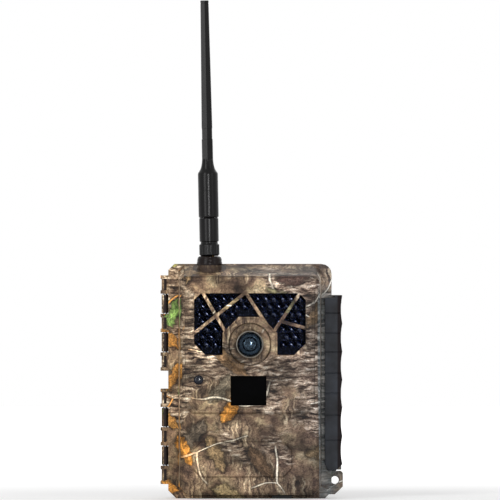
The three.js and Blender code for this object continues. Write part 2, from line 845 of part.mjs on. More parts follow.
function rearHousing() {
  const sideInset = halfWidth - rearInset;
  const top = caseHeight - rearInset;
  const railEnd = railOffset + railWidth / 2;
  const lugs = lugRanges.flatMap(([low, high]) => [
    rodUpright(latchKnuckleRadius, low, high, latchPivotX, latchPivotDepth, 14),
    box(
      sideInset - overrun, latchPivotX,
      latchPivotDepth - latchKnuckleRadius, latchPivotDepth + latchKnuckleRadius, low, high),
  ]);
  const grooveWidth = gasketWidth + 2 * fit;
  const grooveFloorY = partingGap + gasketDepth;
  const groove = carve(
    [prismAlongY(insetCase(gasketInset - fit), 0, grooveFloorY)],
    [prismAlongY(insetCase(gasketInset - fit + grooveWidth), -overrun, grooveFloorY + overrun)]);
  const insertTop = insertLength + 2 * fit;
  const hollow = carve([
    prismAlongY(insetCase(0), partingGap, rearRimDepth),
    loft([
      {
        y: backY,
        points: caseOutline(-sideInset + rearBevel, sideInset - rearBevel, 0, top - rearBevel, rearBevel),
      },
      { y: backY - rearBevelDepth, points: caseOutline(-sideInset, sideInset, 0, top, rearShrink) },
      { y: rearRimDepth - embed, points: caseOutline(-sideInset, sideInset, 0, top, rearShrink) },
    ]),
    toothedRail(-railOffset),
    toothedRail(railOffset),
    ...[strapLow, strapHigh].map((low) => box(
      -railEnd + overrun, railEnd - overrun, backY + strapDepth, railY,
      low - bridgeMargin, low + strapHeight + bridgeMargin)),
    ...lugs,
    padlockEar(partingGap, partingGap + earThickness),
    ...knuckles(false),
  ], [
    prismAlongY(insetCase(rimWidth), -overrun, backInsideY),
    groove,
    ...knucklePockets(false),
    ...[strapLow, strapHigh].map((low) => (
      box(-railEnd - overrun, railEnd + overrun, backY, backY + strapDepth, low, low + strapHeight))),
  ]);
  return carve([
    hollow,
    rodUpright(insertRadius + insertBossWall, 0, insertTop + insertBossFloor, 0, insertDepth, 16),
  ], [
    rodUpright(insertRadius + fit, -overrun, insertTop, 0, insertDepth, 16),
    latchPinHole(),
    earHole(),
    ...hingePinHoles(),
  ]);
}

// Latch lever: front plate that hooks over the cover's rim, side plate and hinge knuckle
function latchLever() {
  const frontY = -coverRimDepth - latchRimGap - latchHookThickness;
  const innerX = halfWidth - latchHookInset;
  const sideX = halfWidth + latchSideGap;
  const outline = [
    [innerX, latchBottom + latchTaper], [innerX + latchTaper / 2, latchBottom],
    [latchOuterX - latchTaper, latchBottom],
  ];
  const wave = (latchTop - latchBottom - latchTaper) / latchWaves;
  const steps = 6;
  for (let i = 0; i < latchWaves; i += 1) {
    for (let step = 0; step < steps; step += 1) {
      const dip = latchWaveDepth * Math.sin(Math.PI * step / steps);
      outline.push([latchOuterX - dip, latchBottom + latchTaper + (i + step / steps) * wave]);
    }
  }
  outline.push([latchOuterX, latchTop], [innerX, latchTop]);
  const knuckleLow = lugRanges[0][1] + fit;
  const knuckleHigh = lugRanges[1][0] - fit;
  const lugRoom = latchPivotDepth - latchKnuckleRadius - latchLugRoom;
  const lugRoomBack = latchPivotDepth + latchKnuckleRadius + latchLugRoom;
  return carve([
    prismAlongY(outline, frontY, frontY + latchHookThickness),
    box(
      sideX, sideX + latchSideThickness, frontY + embed, latchPivotDepth,
      latchBottom + latchTaper / 2, latchTop - fit),
    rodUpright(latchKnuckleRadius - fit, knuckleLow, knuckleHigh, latchPivotX, latchPivotDepth, 14),
  ], [
    ...[[latchBottom - overrun, knuckleLow], [knuckleHigh, latchTop + overrun]].map(([low, high]) => (
      box(sideX - overrun, latchOuterX + overrun, lugRoom, lugRoomBack, low, high))),
    latchPinHole(),
  ]);
}

function latchPin() {
  return rodUpright(latchPinRadius, latchBottom + fit, latchTop - fit, latchPivotX, latchPivotDepth, 14);
}

function caseGasket() {
  return carve(
    [prismAlongY(insetCase(gasketInset), partingGap - fit, partingGap + gasketDepth - fit)],
    [prismAlongY(insetCase(gasketInset + gasketWidth), -overrun, partingGap + gasketDepth + overrun)]);
}

function tripodInsert() {
  const insert = turned([
    [insertBore, fit], [insertRadius, fit], [insertRadius, insertLength + fit],
    [insertBore, insertLength + fit], [insertBore, fit],
  ], 16);
  insert.translate(0, insertDepth, 0);
  return insert;
}

// Battery tray, contact boards and cells
const trayBottom = (caseHeight - trayHeight) / 2;
const rowStep = bayLength + contactThickness;
const bayBottom = (row) => trayBottom + trayMargin + contactThickness + row * rowStep;
const columnX = (column) => (column + 0.5 - cellColumns / 2) * cellPitch;
const nubUp = (column) => column % 2 === 0;

function batteryTray() {
  const half = trayWidth / 2;
  const top = trayBottom + trayHeight;
  const sideFrontY = cellY - trayLip;
  const ribBackY = trayFrontY + embed;
  const ribFrontY = cellY + trayRibRise;
  const pieces = [
    box(-half, half, trayFrontY, trayBackY, trayBottom, top),
    box(-half, -half + trayEndWall - fit, sideFrontY, trayBackY, trayBottom, top),
    box(half - trayEndWall + fit, half, sideFrontY, trayBackY, trayBottom, top),
    box(-half, half, sideFrontY, trayBackY, trayBottom, trayBottom + trayMargin - fit),
    box(-half, half, sideFrontY, trayBackY, top - trayMargin + fit, top),
  ];
  for (let row = 0; row < cellRows; row += 1) {
    for (let line = 1; line < cellColumns; line += 1) {
      const x = (line - cellColumns / 2) * cellPitch;
      pieces.push(prismAlongZ([
        [x - trayRibFoot, ribBackY], [x - trayRibCrest, ribFrontY],
        [x + trayRibCrest, ribFrontY], [x + trayRibFoot, ribBackY],
      ], bayBottom(row) + fit, bayBottom(row) + bayLength - fit));
    }
  }
  return carve(pieces, []);
}

function contactBoard(level) {
  const half = trayWidth / 2 - trayEndWall;
  const low = trayBottom + trayMargin + level * rowStep;
  const yFront = cellY - contactDepth / 2;
  const pieces = [box(-half, half, yFront, trayFrontY - fit, low, low + contactThickness)];
  for (let column = 0; column < cellColumns; column += 1) {
    const sprung = nubUp(column) ? level < cellRows : level > 0;
    if (!sprung) continue;
    const spring = turned([
      [0, -embed], [contactSpringFoot, -embed], [contactSpringHead, contactSpring], [0, contactSpring],
    ], 8);
    if (!nubUp(column)) spring.rotateX(Math.PI);
    spring.translate(columnX(column), cellY, nubUp(column) ? low + contactThickness : low);
    pieces.push(spring);
  }
  return carve(pieces, []);
}

function cell(row, column) {
  const geometry = turned([
    [0, 0], [cellRadius, 0], [cellRadius, cellLength],
    [cellNubRadius, cellLength], [cellNubRadius, cellLength + cellNubHeight], [0, cellLength + cellNubHeight],
  ], 12);
  if (!nubUp(column)) geometry.rotateX(Math.PI);
  const base = nubUp(column) ? contactSpring + fit : fit + cellLength + cellNubHeight;
  geometry.translate(columnX(column), cellY, bayBottom(row) + base);
  return geometry;
}

// Infrared lamps: a board with a field of LEDs that leaves room for the lens
function ledPlaces() {
  const places = [];
  const rowPitch = ledPitch * ledRowShare;
  const top = windowTop - ledEdge;
  const rows = Math.floor((top - windowBottom - ledEdge) / rowPitch) + 1;
  const columns = Math.floor((windowHalfWidth - ledEdge) / ledPitch);
  for (let row = 0; row < rows; row += 1) {
    const z = top - row * rowPitch;
    const shift = (row % 2) * ledPitch / 2;
    for (let column = -columns; column <= columns; column += 1) {
      const x = column * ledPitch + shift;
      const cornerDrop = Math.max(windowBottom + windowCorner - z, 0);
      const nearCorner = Math.abs(x) + cornerDrop > windowHalfWidth - ledEdge;
      const nearLens = Math.hypot(x, z - lensHeight) < collarRadius + ledRadius + ledCollarGap;
      if (!nearCorner && !nearLens) places.push([x, z]);
    }
  }
  return places;
}

function ledBoard() {
  const foot = -ledBoardFrontY - embed;
  const shoulder = -ledTipY - ledRadius * ledDome;
  const lamps = ledPlaces().map(([x, z]) => facing(turned([
    [0, foot], [ledRadius, foot], [ledRadius, shoulder],
    [ledRadius * Math.cos(Math.PI / 4), shoulder + ledRadius * ledDome * Math.sin(Math.PI / 4)],
    [0, -ledTipY],
  ], 6), x, z));
  return carve([
    box(-ledBoardHalfWidth, ledBoardHalfWidth, ledBoardFrontY, ledBoardBackY, ledBoardBottom, boardTop),
    ...lamps,
  ], [
    rodFacing(
      Math.hypot(holderWidth, holderHeight) / 2 + holderRoom,
      ledBoardFrontY - overrun, ledBoardBackY + overrun, 0, lensHeight, 20),
  ]);
}

function infraredWindow() {
  return carve([
    prismAlongY(panelOutline(
      -windowHalfWidth - windowMargin, windowHalfWidth + windowMargin,
      windowBottom - windowMargin, windowTop + windowMargin, windowCorner, windowTopCorner,
    ), windowFrontY, windowBackY),
  ], [
    rodFacing(barrelRadius + windowHoleGap, windowFrontY - overrun, windowBackY + overrun, 0, lensHeight, 20),
  ]);
}

// Lens: bezel ring, cover glass, barrel, front element, holder and filter
const glassFrontY = bezelY + glassRecess;
const glassBackY = glassFrontY + glassThickness;
const bezelBackY = faceY - bezelSeat - fit;

function lensBezel() {
  const shelfRadius = glassRadius - glassShelf;
  return facing(turned([
    [shelfRadius, -bezelBackY], [bezelRadius, -bezelBackY], [bezelRadius, -bezelY - bezelBevel],
    [bezelRadius - bezelBevel, -bezelY], [glassRadius + bezelFace, -bezelY],
    [glassRadius + fit, -glassFrontY],
    [glassRadius + fit, -glassBackY - fit], [shelfRadius, -glassBackY - fit], [shelfRadius, -bezelBackY],
  ], 32), 0, lensHeight);
}

function lensGlass() {
  return rodFacing(glassRadius, glassFrontY, glassBackY, 0, lensHeight, 28);
}

const barrelFrontY = glassBackY + 2 * fit;
const holderBackY = mainBoardFrontY - fit;
const holderFrontY = holderBackY - holderDepth;
const holderFloorY = holderFrontY + holderWall;
const barrelBackY = holderFloorY - fit;

const elementBack = -barrelFrontY - elementSeat - elementDepth + fit;

function lensBarrel() {
  const front = -barrelFrontY;
  return facing(turned([
    [0, -barrelBackY], [barrelRadius, -barrelBackY], [barrelRadius, front],
    [elementRadius + barrelLip, front], [elementRadius + fit, front - elementSeat],
    [elementRadius + fit, elementBack - fit], [0, elementBack - fit],
  ], 24), 0, lensHeight);
}

function frontElement() {
  const rim = elementBack + elementDepth - elementCrown;
  const profile = [[0, elementBack], [elementRadius, elementBack]];
  const steps = 4;
  for (let i = 0; i < steps; i += 1) {
    const angle = (i / steps) * Math.PI / 2;
    profile.push([elementRadius * Math.cos(angle), rim + elementCrown * Math.sin(angle)]);
  }
  profile.push([0, rim + elementCrown]);
  return facing(turned(profile, 20), 0, lensHeight);
}

function lensHolder() {
  const halfWide = holderWidth / 2;
  const halfHigh = holderHeight / 2;
  const roomWide = halfWide - holderWall;
  const roomHigh = filterSize / 2 + fit;
  return carve(
    [box(-halfWide, halfWide, holderFrontY, holderBackY, lensHeight - halfHigh, lensHeight + halfHigh)],
    [
      box(
        -roomWide, roomWide, holderFloorY, holderBackY + overrun,
        lensHeight - roomHigh, lensHeight + roomHigh),
      rodFacing(barrelRadius + fit, holderFrontY - overrun, holderFloorY + overrun, 0, lensHeight, 24),
    ]);
}

function infraredCutFilter() {
  const left = -filterSize / 2 - filterTravel / 2;
  const yFront = holderFloorY + fit;
  const half = filterSize / 2;
  return box(left, left + filterSize, yFront, yFront + filterThickness, lensHeight - half, lensHeight + half);
}

// Motion sensor: flat lens seated from inside, and the can on the main board
function pirLens() {
  const left = pirOffset - pirWidth / 2;
  const right = pirOffset + pirWidth / 2;
  const flangeFrontY = faceInsideY + fit;
  return carve([
    box(left + fit, right - fit, bandY + pirRecess, flangeFrontY + embed, pirBottom + fit, pirTop - fit),
    box(
      left - pirFlange, right + pirFlange, flangeFrontY, flangeFrontY + pirFlangeThickness,
      pirBottom - pirFlange, pirTop + pirFlange),
  ], []);
}

function pirSensor() {
  const back = -mainBoardFrontY + fit;
  return facing(turned([
    [0, back], [pirCanRadius + pirCanBrim, back], [pirCanRadius + pirCanBrim, back + pirCanBrimHeight],
    [pirCanRadius, back + pirCanBrimHeight], [pirCanRadius, back + pirCanHeight], [0, back + pirCanHeight],
  ], 16), pirOffset, pirBottom + pirHeight / 2);
}

function lightSensor() {
  const flangeFront = -faceInsideY - fit;
  const flangeBack = flangeFront - eyeFlangeThickness;
  const front = -bandY + eyeProud;
  return facing(turned([
    [0, flangeBack], [eyeRadius + eyeFlange, flangeBack], [eyeRadius + eyeFlange, flangeFront],
    [eyeRadius, flangeFront], [eyeRadius, front - eyeDome], [eyeRadius * eyeFlat, front], [0, front],
  ], 14), eyeOffset, eyeHeight);
}

// Main board with the image sensor soldered on it, and parts of the control panel
function mainBoard() {
  const half = sensorSize / 2;
  return carve([
    box(-mainBoardHalfWidth, mainBoardHalfWidth, mainBoardFrontY, mainBoardBackY, mainBoardBottom, boardTop),
    box(
      -half, half, mainBoardFrontY - sensorThickness, mainBoardFrontY + embed,
      lensHeight - half, lensHeight + half),
  ], []);
}

function radioModule() {
  const backY = mainBoardFrontY - fit;
  return box(
    -modemWidth / 2, modemWidth / 2, backY - modemThickness, backY, modemBottom, modemBottom + modemHeight);
}

const keyPlaces = {
  key_ok: [keyCentreX, keyCentreZ],
  key_up: [keyCentreX, keyCentreZ + keyPitch],
  key_down: [keyCentreX, keyCentreZ - keyPitch],
  key_left: [keyCentreX - keyPitch, keyCentreZ],
  key_right: [keyCentreX + keyPitch, keyCentreZ],
};

function controlPanel() {
  const windowHalf = screenWidth / 2 - screenBezel;
  const windowHigh = screenHeight / 2 - screenBezel;
  const cut = panelThickness + 2 * overrun;
  const cutFrontY = panelFrontY - overrun;
  const slotHalf = (switchKnobWidth + switchTravel) / 2 + fit;
  const slotHigh = switchKnobHeight / 2 + fit;
  return carve([prismAlongY(insetCase(rimWidth + fit), panelFrontY, panelBackY)], [
    box(
      -windowHalf, windowHalf, cutFrontY, cutFrontY + cut,
      screenCentre - windowHigh, screenCentre + windowHigh),
    box(pocketLeft, pocketRight, cutFrontY, cutFrontY + cut, socketTop + fit, pocketTop),
    box(
      switchCentreX - slotHalf, switchCentreX + slotHalf, cutFrontY, cutFrontY + cut,
      switchCentreZ - slotHigh, switchCentreZ + slotHigh),
    ...Object.values(keyPlaces).map(([x, z]) => (
      rodFacing(keyRadius + fit, cutFrontY, cutFrontY + cut, x, z, 16))),
    ...bossPlaces.map(([x, z]) => (
      rodFacing(screwShankRadius + 2 * fit, cutFrontY, cutFrontY + cut, x, z, 12))),
  ]);
}

function screen() {
  const backY = panelFrontY - fit;
  return box(
    -screenWidth / 2, screenWidth / 2, backY - screenThickness, backY,
    screenCentre - screenHeight / 2, screenCentre + screenHeight / 2);
}

function key([x, z]) {
  const top = -panelBackY - keyProud;
  const flangeBack = -panelFrontY + fit;
  const foot = -mainBoardBackY - keyTravel - fit;
  const flangeRadius = keyRadius + keyFlange;
  const geometry = turned([
    [0, top], [keyRadius - keyBevel, top], [keyRadius, top + keyBevel], [keyRadius, flangeBack],
    [flangeRadius, flangeBack], [flangeRadius, flangeBack + keyFlangeThickness],
    [keyRadius / 2, flangeBack + keyFlangeThickness], [keyRadius / 2, foot], [0, foot],
  ], 12);
  return facing(geometry, x, z);
}

function powerSwitch() {
  const left = switchCentreX - (switchKnobWidth + switchTravel) / 2;
  const low = switchCentreZ - switchKnobHeight / 2;
  const backY = panelFrontY - fit;
  const margin = switchBaseMargin;
  return carve([
    box(left, left + switchKnobWidth, backY - embed, panelBackY + keyProud, low, low + switchKnobHeight),
    box(
      left - margin, left + switchKnobWidth + margin, backY - switchBaseThickness, backY,
      low - margin, low + switchKnobHeight + margin),
  ], []);
}

const socketFrontY = mainBoardBackY + fit;

function cardSocket(centreX, width, length, thickness, stickOut) {
  const half = width / 2 + fit;
  const room = thickness + 2 * fit;
  const low = socketTop - (length - stickOut) - fit;
  const roomFrontY = socketFrontY + socketWall;
  return carve([
    box(
      centreX - half - socketWall, centreX + half + socketWall,
      socketFrontY, roomFrontY + room + socketWall, low - socketWall, socketTop),
  ], [
    box(centreX - half, centreX + half, roomFrontY, roomFrontY + room, low, socketTop + overrun),
  ]);
}

function card(centreX, width, length, thickness, stickOut, corner) {
  const low = socketTop - (length - stickOut);
  const yFront = socketFrontY + socketWall + fit;
  const left = centreX - width / 2;
  const right = centreX + width / 2;
  return prismAlongY([
    [left, low], [right - corner, low], [right, low + corner], [right, low + length], [left, low + length],
  ], yFront, yFront + thickness);
}

function usbPort() {
  const left = usbCentreX - usbWidth / 2;
  const right = usbCentreX + usbWidth / 2;
  const usbBackY = socketFrontY + usbThickness;
  const usbTop = usbBottom + usbLength;
  return carve([
    box(left, right, socketFrontY, usbBackY, usbBottom, usbTop),
  ], [
    box(
      left + usbShell, right - usbShell, socketFrontY + usbShell, usbBackY - usbShell,
      usbBottom - overrun, usbTop - usbShell),
  ]);
}

function panelScrew([x, z]) {
  const headTop = panelRecess - fit - screwHeadHeight;
  const shankTop = panelRecess - fit;
  return facing(turned([
    [0, headTop], [screwHeadRadius - screwHeadBevel, headTop], [screwHeadRadius, headTop + screwHeadBevel],
    [screwHeadRadius, shankTop], [screwShankRadius, shankTop], [screwShankRadius, shankTop + screwLength],
    [0, shankTop + screwLength],
  ], 12), x, z);
}

// Low-voltage inlet and the rubber plug that turns on its rear edge
function powerInlet() {
  const low = boxBottom + fit;
  const top = low + inletLength;
  const pinTip = low + plugStem + fit;
  const inlet = turned([
    [inletBore, low], [inletRadius, low], [inletRadius, top], [0, top],
    [0, pinTip], [inletPinRadius, pinTip], [inletPinRadius, top - inletFloor],
    [inletBore, top - inletFloor], [inletBore, low],
  ], 16);
  inlet.translate(inletX, -inletDepth, 0);
  return inlet;
}

const plugTopZ = boxBottom - fit;
const plugBackY = -inletDepth + plugLength / 2 + plugTab;

function inletPlug() {
  return carve([
    box(
      inletX - plugWidth / 2, inletX + plugWidth / 2, plugBackY - plugLength, plugBackY,
      plugTopZ - plugThickness, plugTopZ),
    rodUpright(plugStemRadius, plugTopZ - embed, plugTopZ + fit + plugStem, inletX, -inletDepth, 14),
  ], []);
}

// Antenna, upright in its own frame with the boss top at zero
const barrelLow = nutLift + nutHeight + neckHeight;
const knuckleTop = knuckleAxisHeight + lowerBarrelRadius;
const upperLow = knuckleTop + knuckleTurnGap;
const whipLow = upperLow + upperBarrelHeight + shoulderHeight;

function antennaConnector() {
  const top = antennaBossTop + connectorAbove;
  const low = top - connectorLength;
  const flange = connectorRadius + connectorFlange;
  return turned([
    [0, low], [flange, low], [flange, low + connectorFlangeHeight],
    [connectorRadius, low + connectorFlangeHeight], [connectorRadius, top], [0, top],
  ], 16).translate(antennaX, -antennaDepth, 0);
}

function antennaBase() {
  const nutTop = nutLift + nutHeight;
  const reach = lowerBarrelRadius + overrun;
  const body = turned([
    [0, nutLift], [nutRadius - nutRounding, nutLift], [nutRadius, nutLift + nutRounding],
    [nutRadius, nutTop - nutRounding], [nutRadius - nutRounding, nutTop],
    [neckRadius, nutTop], [neckRadius, barrelLow], [lowerBarrelRadius, barrelLow],
    [lowerBarrelRadius, knuckleAxisHeight], [0, knuckleAxisHeight],
  ], 20);
  const ears = common(
    rod(lowerBarrelRadius, knuckleAxisHeight - embed, knuckleTop + overrun, 20),
    carve([
      rodAcross(lowerBarrelRadius, -reach, reach, 0, knuckleAxisHeight, 20),
      box(-reach, reach, -reach, 0, knuckleAxisHeight - embed, knuckleTop),
    ], []));
  const slot = tongueHalfWidth + fit;
  return carve([body, ears], [
    box(
      -slot, slot, -tongueRadius - fit, reach,
      knuckleAxisHeight - tongueRadius - 2 * fit, knuckleTop + overrun),
    rod(connectorRadius + 2 * fit, nutLift - overrun, connectorAbove + connectorRoom, 16),
    rodAcross(antennaPinRadius + fit, -reach, reach, 0, knuckleAxisHeight, 12),
  ]);
}

function antennaKnucklePin() {
  const half = lowerBarrelRadius - antennaPinInset;
  return rodAcross(antennaPinRadius, -half, half, 0, knuckleAxisHeight, 12);
}

function antennaWhip() {
  const barrelTop = upperLow + upperBarrelHeight;
  const barrel = turned([
    [0, upperLow], [upperBarrelRadius, upperLow], [upperBarrelRadius, barrelTop],
    [upperBarrelRadius - barrelEdge, barrelTop + barrelEdge], [shoulderTop, whipLow], [0, whipLow],
  ], 20);
  const blade = (width, height, shrink) => ({
    y: -height,
    points: panelOutline(
      -width / 2 + shrink, width / 2 - shrink, -whipThickness / 2 + shrink, whipThickness / 2 - shrink,
      whipCorner, whipCorner),
  });
  const whipTop = whipLow + whipLength;
  const whip = loft([
    blade(whipWidthLow, whipLow - overrun, 0),
    blade(whipWidthHigh, whipTop - whipTipBevel, 0),
    blade(whipWidthHigh, whipTop, whipTipBevel),
  ]);
  whip.rotateX(-Math.PI / 2);
  return carve([
    barrel,
    whip,
    rodAcross(tongueRadius, -tongueHalfWidth, tongueHalfWidth, 0, knuckleAxisHeight, 20),
    box(
      -tongueHalfWidth, tongueHalfWidth, -tongueRadius + embed, tongueRadius - embed,
      knuckleAxisHeight, upperLow + overrun),
  ], [
    rodAcross(
      antennaPinRadius + fit, -tongueHalfWidth - overrun, tongueHalfWidth + overrun,
      0, knuckleAxisHeight, 12),
  ]);
}

// Finishes
const finishes = {
  camo: [0x8a7a60, 0.7, 0],
  charcoal: [0x35353a, 0.6, 0],
  blackPlastic: [0x17171a, 0.5, 0],
  clearBlack: [0x0c0e14, 0.15, 0],
  glass: [0x1b2430, 0.05, 0],
  steel: [0x9a9ca0, 0.35, 1],
  brass: [0xb08d4a, 0.35, 1],
  greenBoard: [0x1f4a33, 0.6, 0],
  rubber: [0x222222, 0.85, 0],
  greyPlastic: [0x55585c, 0.6, 0],
  greyKey: [0x8d9094, 0.6, 0],
  label: [0x8a6a3a, 0.45, 0],
  cardBlue: [0x20324f, 0.5, 0],
};

const trailCamera = new THREE.Group();
trailCamera.name = 'trail_camera';

// The model's origin is under the middle of its box: pieces here are placed from the case
const reachLeft = hingeStandOff + hingeRadius;
const reachRight = earReach;
const reachFront = -bezelY;
const assembly = new THREE.Group();
assembly.position.set((reachLeft - reachRight) / 2, (reachFront - railY) / 2, 0);
trailCamera.add(assembly);

const antenna = new THREE.Group();
antenna.position.set(antennaX, -antennaDepth, antennaBossTop);
antenna.rotation.y = -THREE.MathUtils.degToRad(antennaLean);
assembly.add(antenna);

function place(name, geometry, finish, parent = assembly) {
  const [color, roughness, metalness] = finishes[finish];
  const material = new THREE.MeshStandardMaterial({ color, roughness, metalness });
  const mesh = new THREE.Mesh(geometry, material);
  mesh.name = name;
  parent.add(mesh);
}

place('rear_housing', rearHousing(), 'camo');
place('case_gasket', caseGasket(), 'rubber');
place('battery_tray', batteryTray(), 'blackPlastic');
['bottom', 'middle', 'top'].forEach((name, level) => {
  place(`contact_board_${name}`, contactBoard(level), 'greenBoard');
});
for (let row = 0; row < cellRows; row += 1) {
  for (let column = 0; column < cellColumns; column += 1) {
    place(`cell_${row + 1}_${column + 1}`, cell(row, column), 'label');
  }
}
place('tripod_insert', tripodInsert(), 'brass');
place('hinge_pin_lower', hingePin(hingeGroupBottoms[0]), 'steel');
place('hinge_pin_upper', hingePin(hingeGroupBottoms[1]), 'steel');
place('latch_pin', latchPin(), 'steel');
place('latch_lever', latchLever(), 'charcoal');
place('front_cover', frontCover(), 'camo');
place('infrared_window', infraredWindow(), 'clearBlack');
place('led_board', ledBoard(), 'blackPlastic');
place('lens_bezel', lensBezel(), 'camo');
place('lens_glass', lensGlass(), 'glass');
place('lens_barrel', lensBarrel(), 'blackPlastic');
place('lens_element', frontElement(), 'glass');
place('lens_holder', lensHolder(), 'blackPlastic');
place('infrared_cut_filter', infraredCutFilter(), 'glass');
place('pir_lens', pirLens(), 'blackPlastic');
place('pir_sensor', pirSensor(), 'steel');
place('light_sensor', lightSensor(), 'clearBlack');
place('main_board', mainBoard(), 'greenBoard');
place('radio_module', radioModule(), 'steel');
place('control_panel', controlPanel(), 'greyPlastic');
place('screen', screen(), 'clearBlack');
for (const [name, spot] of Object.entries(keyPlaces)) place(name, key(spot), 'greyKey');
place('power_switch', powerSwitch(), 'greyKey');
place('sd_socket', cardSocket(sdCentreX, sdWidth, sdLength, sdThickness, sdStickOut), 'steel');
place('sd_card', card(sdCentreX, sdWidth, sdLength, sdThickness, sdStickOut, sdCorner), 'cardBlue');
place('sim_socket', cardSocket(simCentreX, simWidth, simLength, simThickness, simStickOut), 'steel');
place('sim_card', card(simCentreX, simWidth, simLength, simThickness, simStickOut, simCorner), 'cardBlue');
place('usb_port', usbPort(), 'steel');
bossPlaces.forEach((spot, i) => place(`panel_screw_${i + 1}`, panelScrew(spot), 'steel'));
place('power_inlet', powerInlet(), 'blackPlastic');
place('inlet_plug', inletPlug(), 'rubber');
place('antenna_connector', antennaConnector(), 'brass');
place('antenna_base', antennaBase(), 'blackPlastic', antenna);
place('antenna_knuckle_pin', antennaKnucklePin(), 'steel', antenna);
place('antenna_whip', antennaWhip(), 'blackPlastic', antenna);

export default trailCamera;
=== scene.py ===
import json
import math
import bpy
from mathutils import Euler, Matrix, Vector

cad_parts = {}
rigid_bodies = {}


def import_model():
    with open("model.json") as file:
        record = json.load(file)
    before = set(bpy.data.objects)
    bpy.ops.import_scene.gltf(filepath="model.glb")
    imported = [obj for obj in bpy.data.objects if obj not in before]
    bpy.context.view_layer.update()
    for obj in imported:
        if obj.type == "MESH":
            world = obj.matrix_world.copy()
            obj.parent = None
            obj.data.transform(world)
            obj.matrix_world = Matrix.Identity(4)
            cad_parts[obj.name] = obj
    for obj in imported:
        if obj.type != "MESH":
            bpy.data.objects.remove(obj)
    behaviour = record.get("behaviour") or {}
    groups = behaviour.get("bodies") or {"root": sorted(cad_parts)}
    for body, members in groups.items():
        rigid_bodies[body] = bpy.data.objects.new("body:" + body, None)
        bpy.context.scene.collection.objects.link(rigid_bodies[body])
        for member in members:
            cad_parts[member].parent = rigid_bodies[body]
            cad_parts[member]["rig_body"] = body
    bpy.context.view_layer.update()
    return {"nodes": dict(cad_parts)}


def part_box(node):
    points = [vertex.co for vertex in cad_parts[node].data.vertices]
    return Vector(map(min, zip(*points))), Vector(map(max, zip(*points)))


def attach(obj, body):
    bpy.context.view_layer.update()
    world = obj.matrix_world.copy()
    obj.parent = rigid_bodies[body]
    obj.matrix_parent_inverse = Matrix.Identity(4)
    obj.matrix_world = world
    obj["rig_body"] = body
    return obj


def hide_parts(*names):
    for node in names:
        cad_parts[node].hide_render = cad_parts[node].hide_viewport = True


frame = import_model()
nodes = frame["nodes"]

# Rear housing. The real one is injection-moulded ABS dipped in a printed camouflage film. It carries
# the battery tray, the latch lugs, its share of the hinge knuckles and the toothed rails behind.
MM = 0.001
shell_edge = 0.3
shell_angle = 50


def select_only(piece):
    if bpy.context.mode != "OBJECT":
        bpy.ops.object.mode_set(mode="OBJECT")
    bpy.ops.object.select_all(action="DESELECT")
    piece.select_set(True)
    bpy.context.view_layer.objects.active = piece


def apply_modifiers(piece):
    select_only(piece)
    for modifier in list(piece.modifiers):
        bpy.ops.object.modifier_apply(modifier=modifier.name)


def rounded(piece, edge, segments=2, angle=35):
    """Rounds the sharp edges of a piece by so many millimetres and shades it smooth"""
    bevel = piece.modifiers.new("edges", "BEVEL")
    bevel.width = edge * MM
    bevel.segments = segments
    bevel.limit_method = "ANGLE"
    bevel.angle_limit = math.radians(angle)
    bevel.use_clamp_overlap = False
    bevel.miter_outer = "MITER_ARC"
    apply_modifiers(piece)
    bpy.ops.object.shade_smooth_by_angle(angle=math.radians(40))
    shading = piece.modifiers.new("shading", "WEIGHTED_NORMAL")
    shading.weight = 80
    shading.keep_sharp = True
    apply_modifiers(piece)
    return piece


def merged(node, name):
    """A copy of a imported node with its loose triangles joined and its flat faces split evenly"""
    piece = bpy.data.objects.new(name, nodes[node].data.copy())
    bpy.context.scene.collection.objects.link(piece)
    piece.data.materials.clear()
    select_only(piece)
    bpy.ops.mesh.customdata_custom_splitnormals_clear()
    bpy.ops.object.mode_set(mode="EDIT")
    bpy.ops.mesh.select_all(action="SELECT")
    bpy.ops.mesh.remove_doubles(threshold=0.00001)
    bpy.ops.mesh.beautify_fill(angle_limit=math.radians(0.5))
    bpy.ops.object.mode_set(mode="OBJECT")
    return piece


def refined(node, name, edge, segments=2, angle=35):
    """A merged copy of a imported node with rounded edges"""
    return rounded(merged(node, name), edge, segments, angle)


def stands_for(piece, material, slot, *names):
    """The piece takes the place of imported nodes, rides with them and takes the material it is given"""
    piece.data.materials.clear()
    piece.data.materials.append(material)
    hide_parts(*names)
    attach(piece, nodes[names[0]]["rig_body"])
    return piece


def colour(code):
    """A linear colour from an sRGB hex value"""
    parts = [int(code[i:i + 2], 16) / 255 for i in (1, 3, 5)]
    return [c / 12.92 if c <= 0.04045 else ((c + 0.055) / 1.055) ** 2.4 for c in parts] + [1.0]


def add(tree, kind, inputs=(), out=0, stops=(), **settings):
    """Adds a shader node with its settings and links, and returns one of its outputs"""
    node = tree.nodes.new("ShaderNode" + kind)
    for name, value in settings.items():
        setattr(node, name, value)
    for socket, value in dict(inputs).items():
        if isinstance(value, bpy.types.NodeSocket):
            tree.links.new(value, node.inputs[socket])
        elif isinstance(value, str):
            node.inputs[socket].default_value = colour(value)
        else:
            node.inputs[socket].default_value = value
    for i, (position, shade) in enumerate(stops):
        ramp = node.color_ramp.elements
        element = ramp[0] if i == 0 else ramp[-1] if i == len(stops) - 1 else ramp.new(position)
        element.position = position
        element.color = colour(shade)
    return node.outputs[out] if node.outputs else node


def new_material(name):
    material = bpy.data.materials.new(name)
    material.use_nodes = True
    material.node_tree.nodes.clear()
    return material


def finish_material(material, shader):
    add(material.node_tree, "OutputMaterial", {"Surface": shader})
    return material


def millimetres(tree):
    """The place on a piece, in its own coordinates and in millimetres"""
    place = add(tree, "TexCoord", out="Object")
    return add(tree, "VectorMath", {0: place, "Scale": 1 / MM}, operation="SCALE")


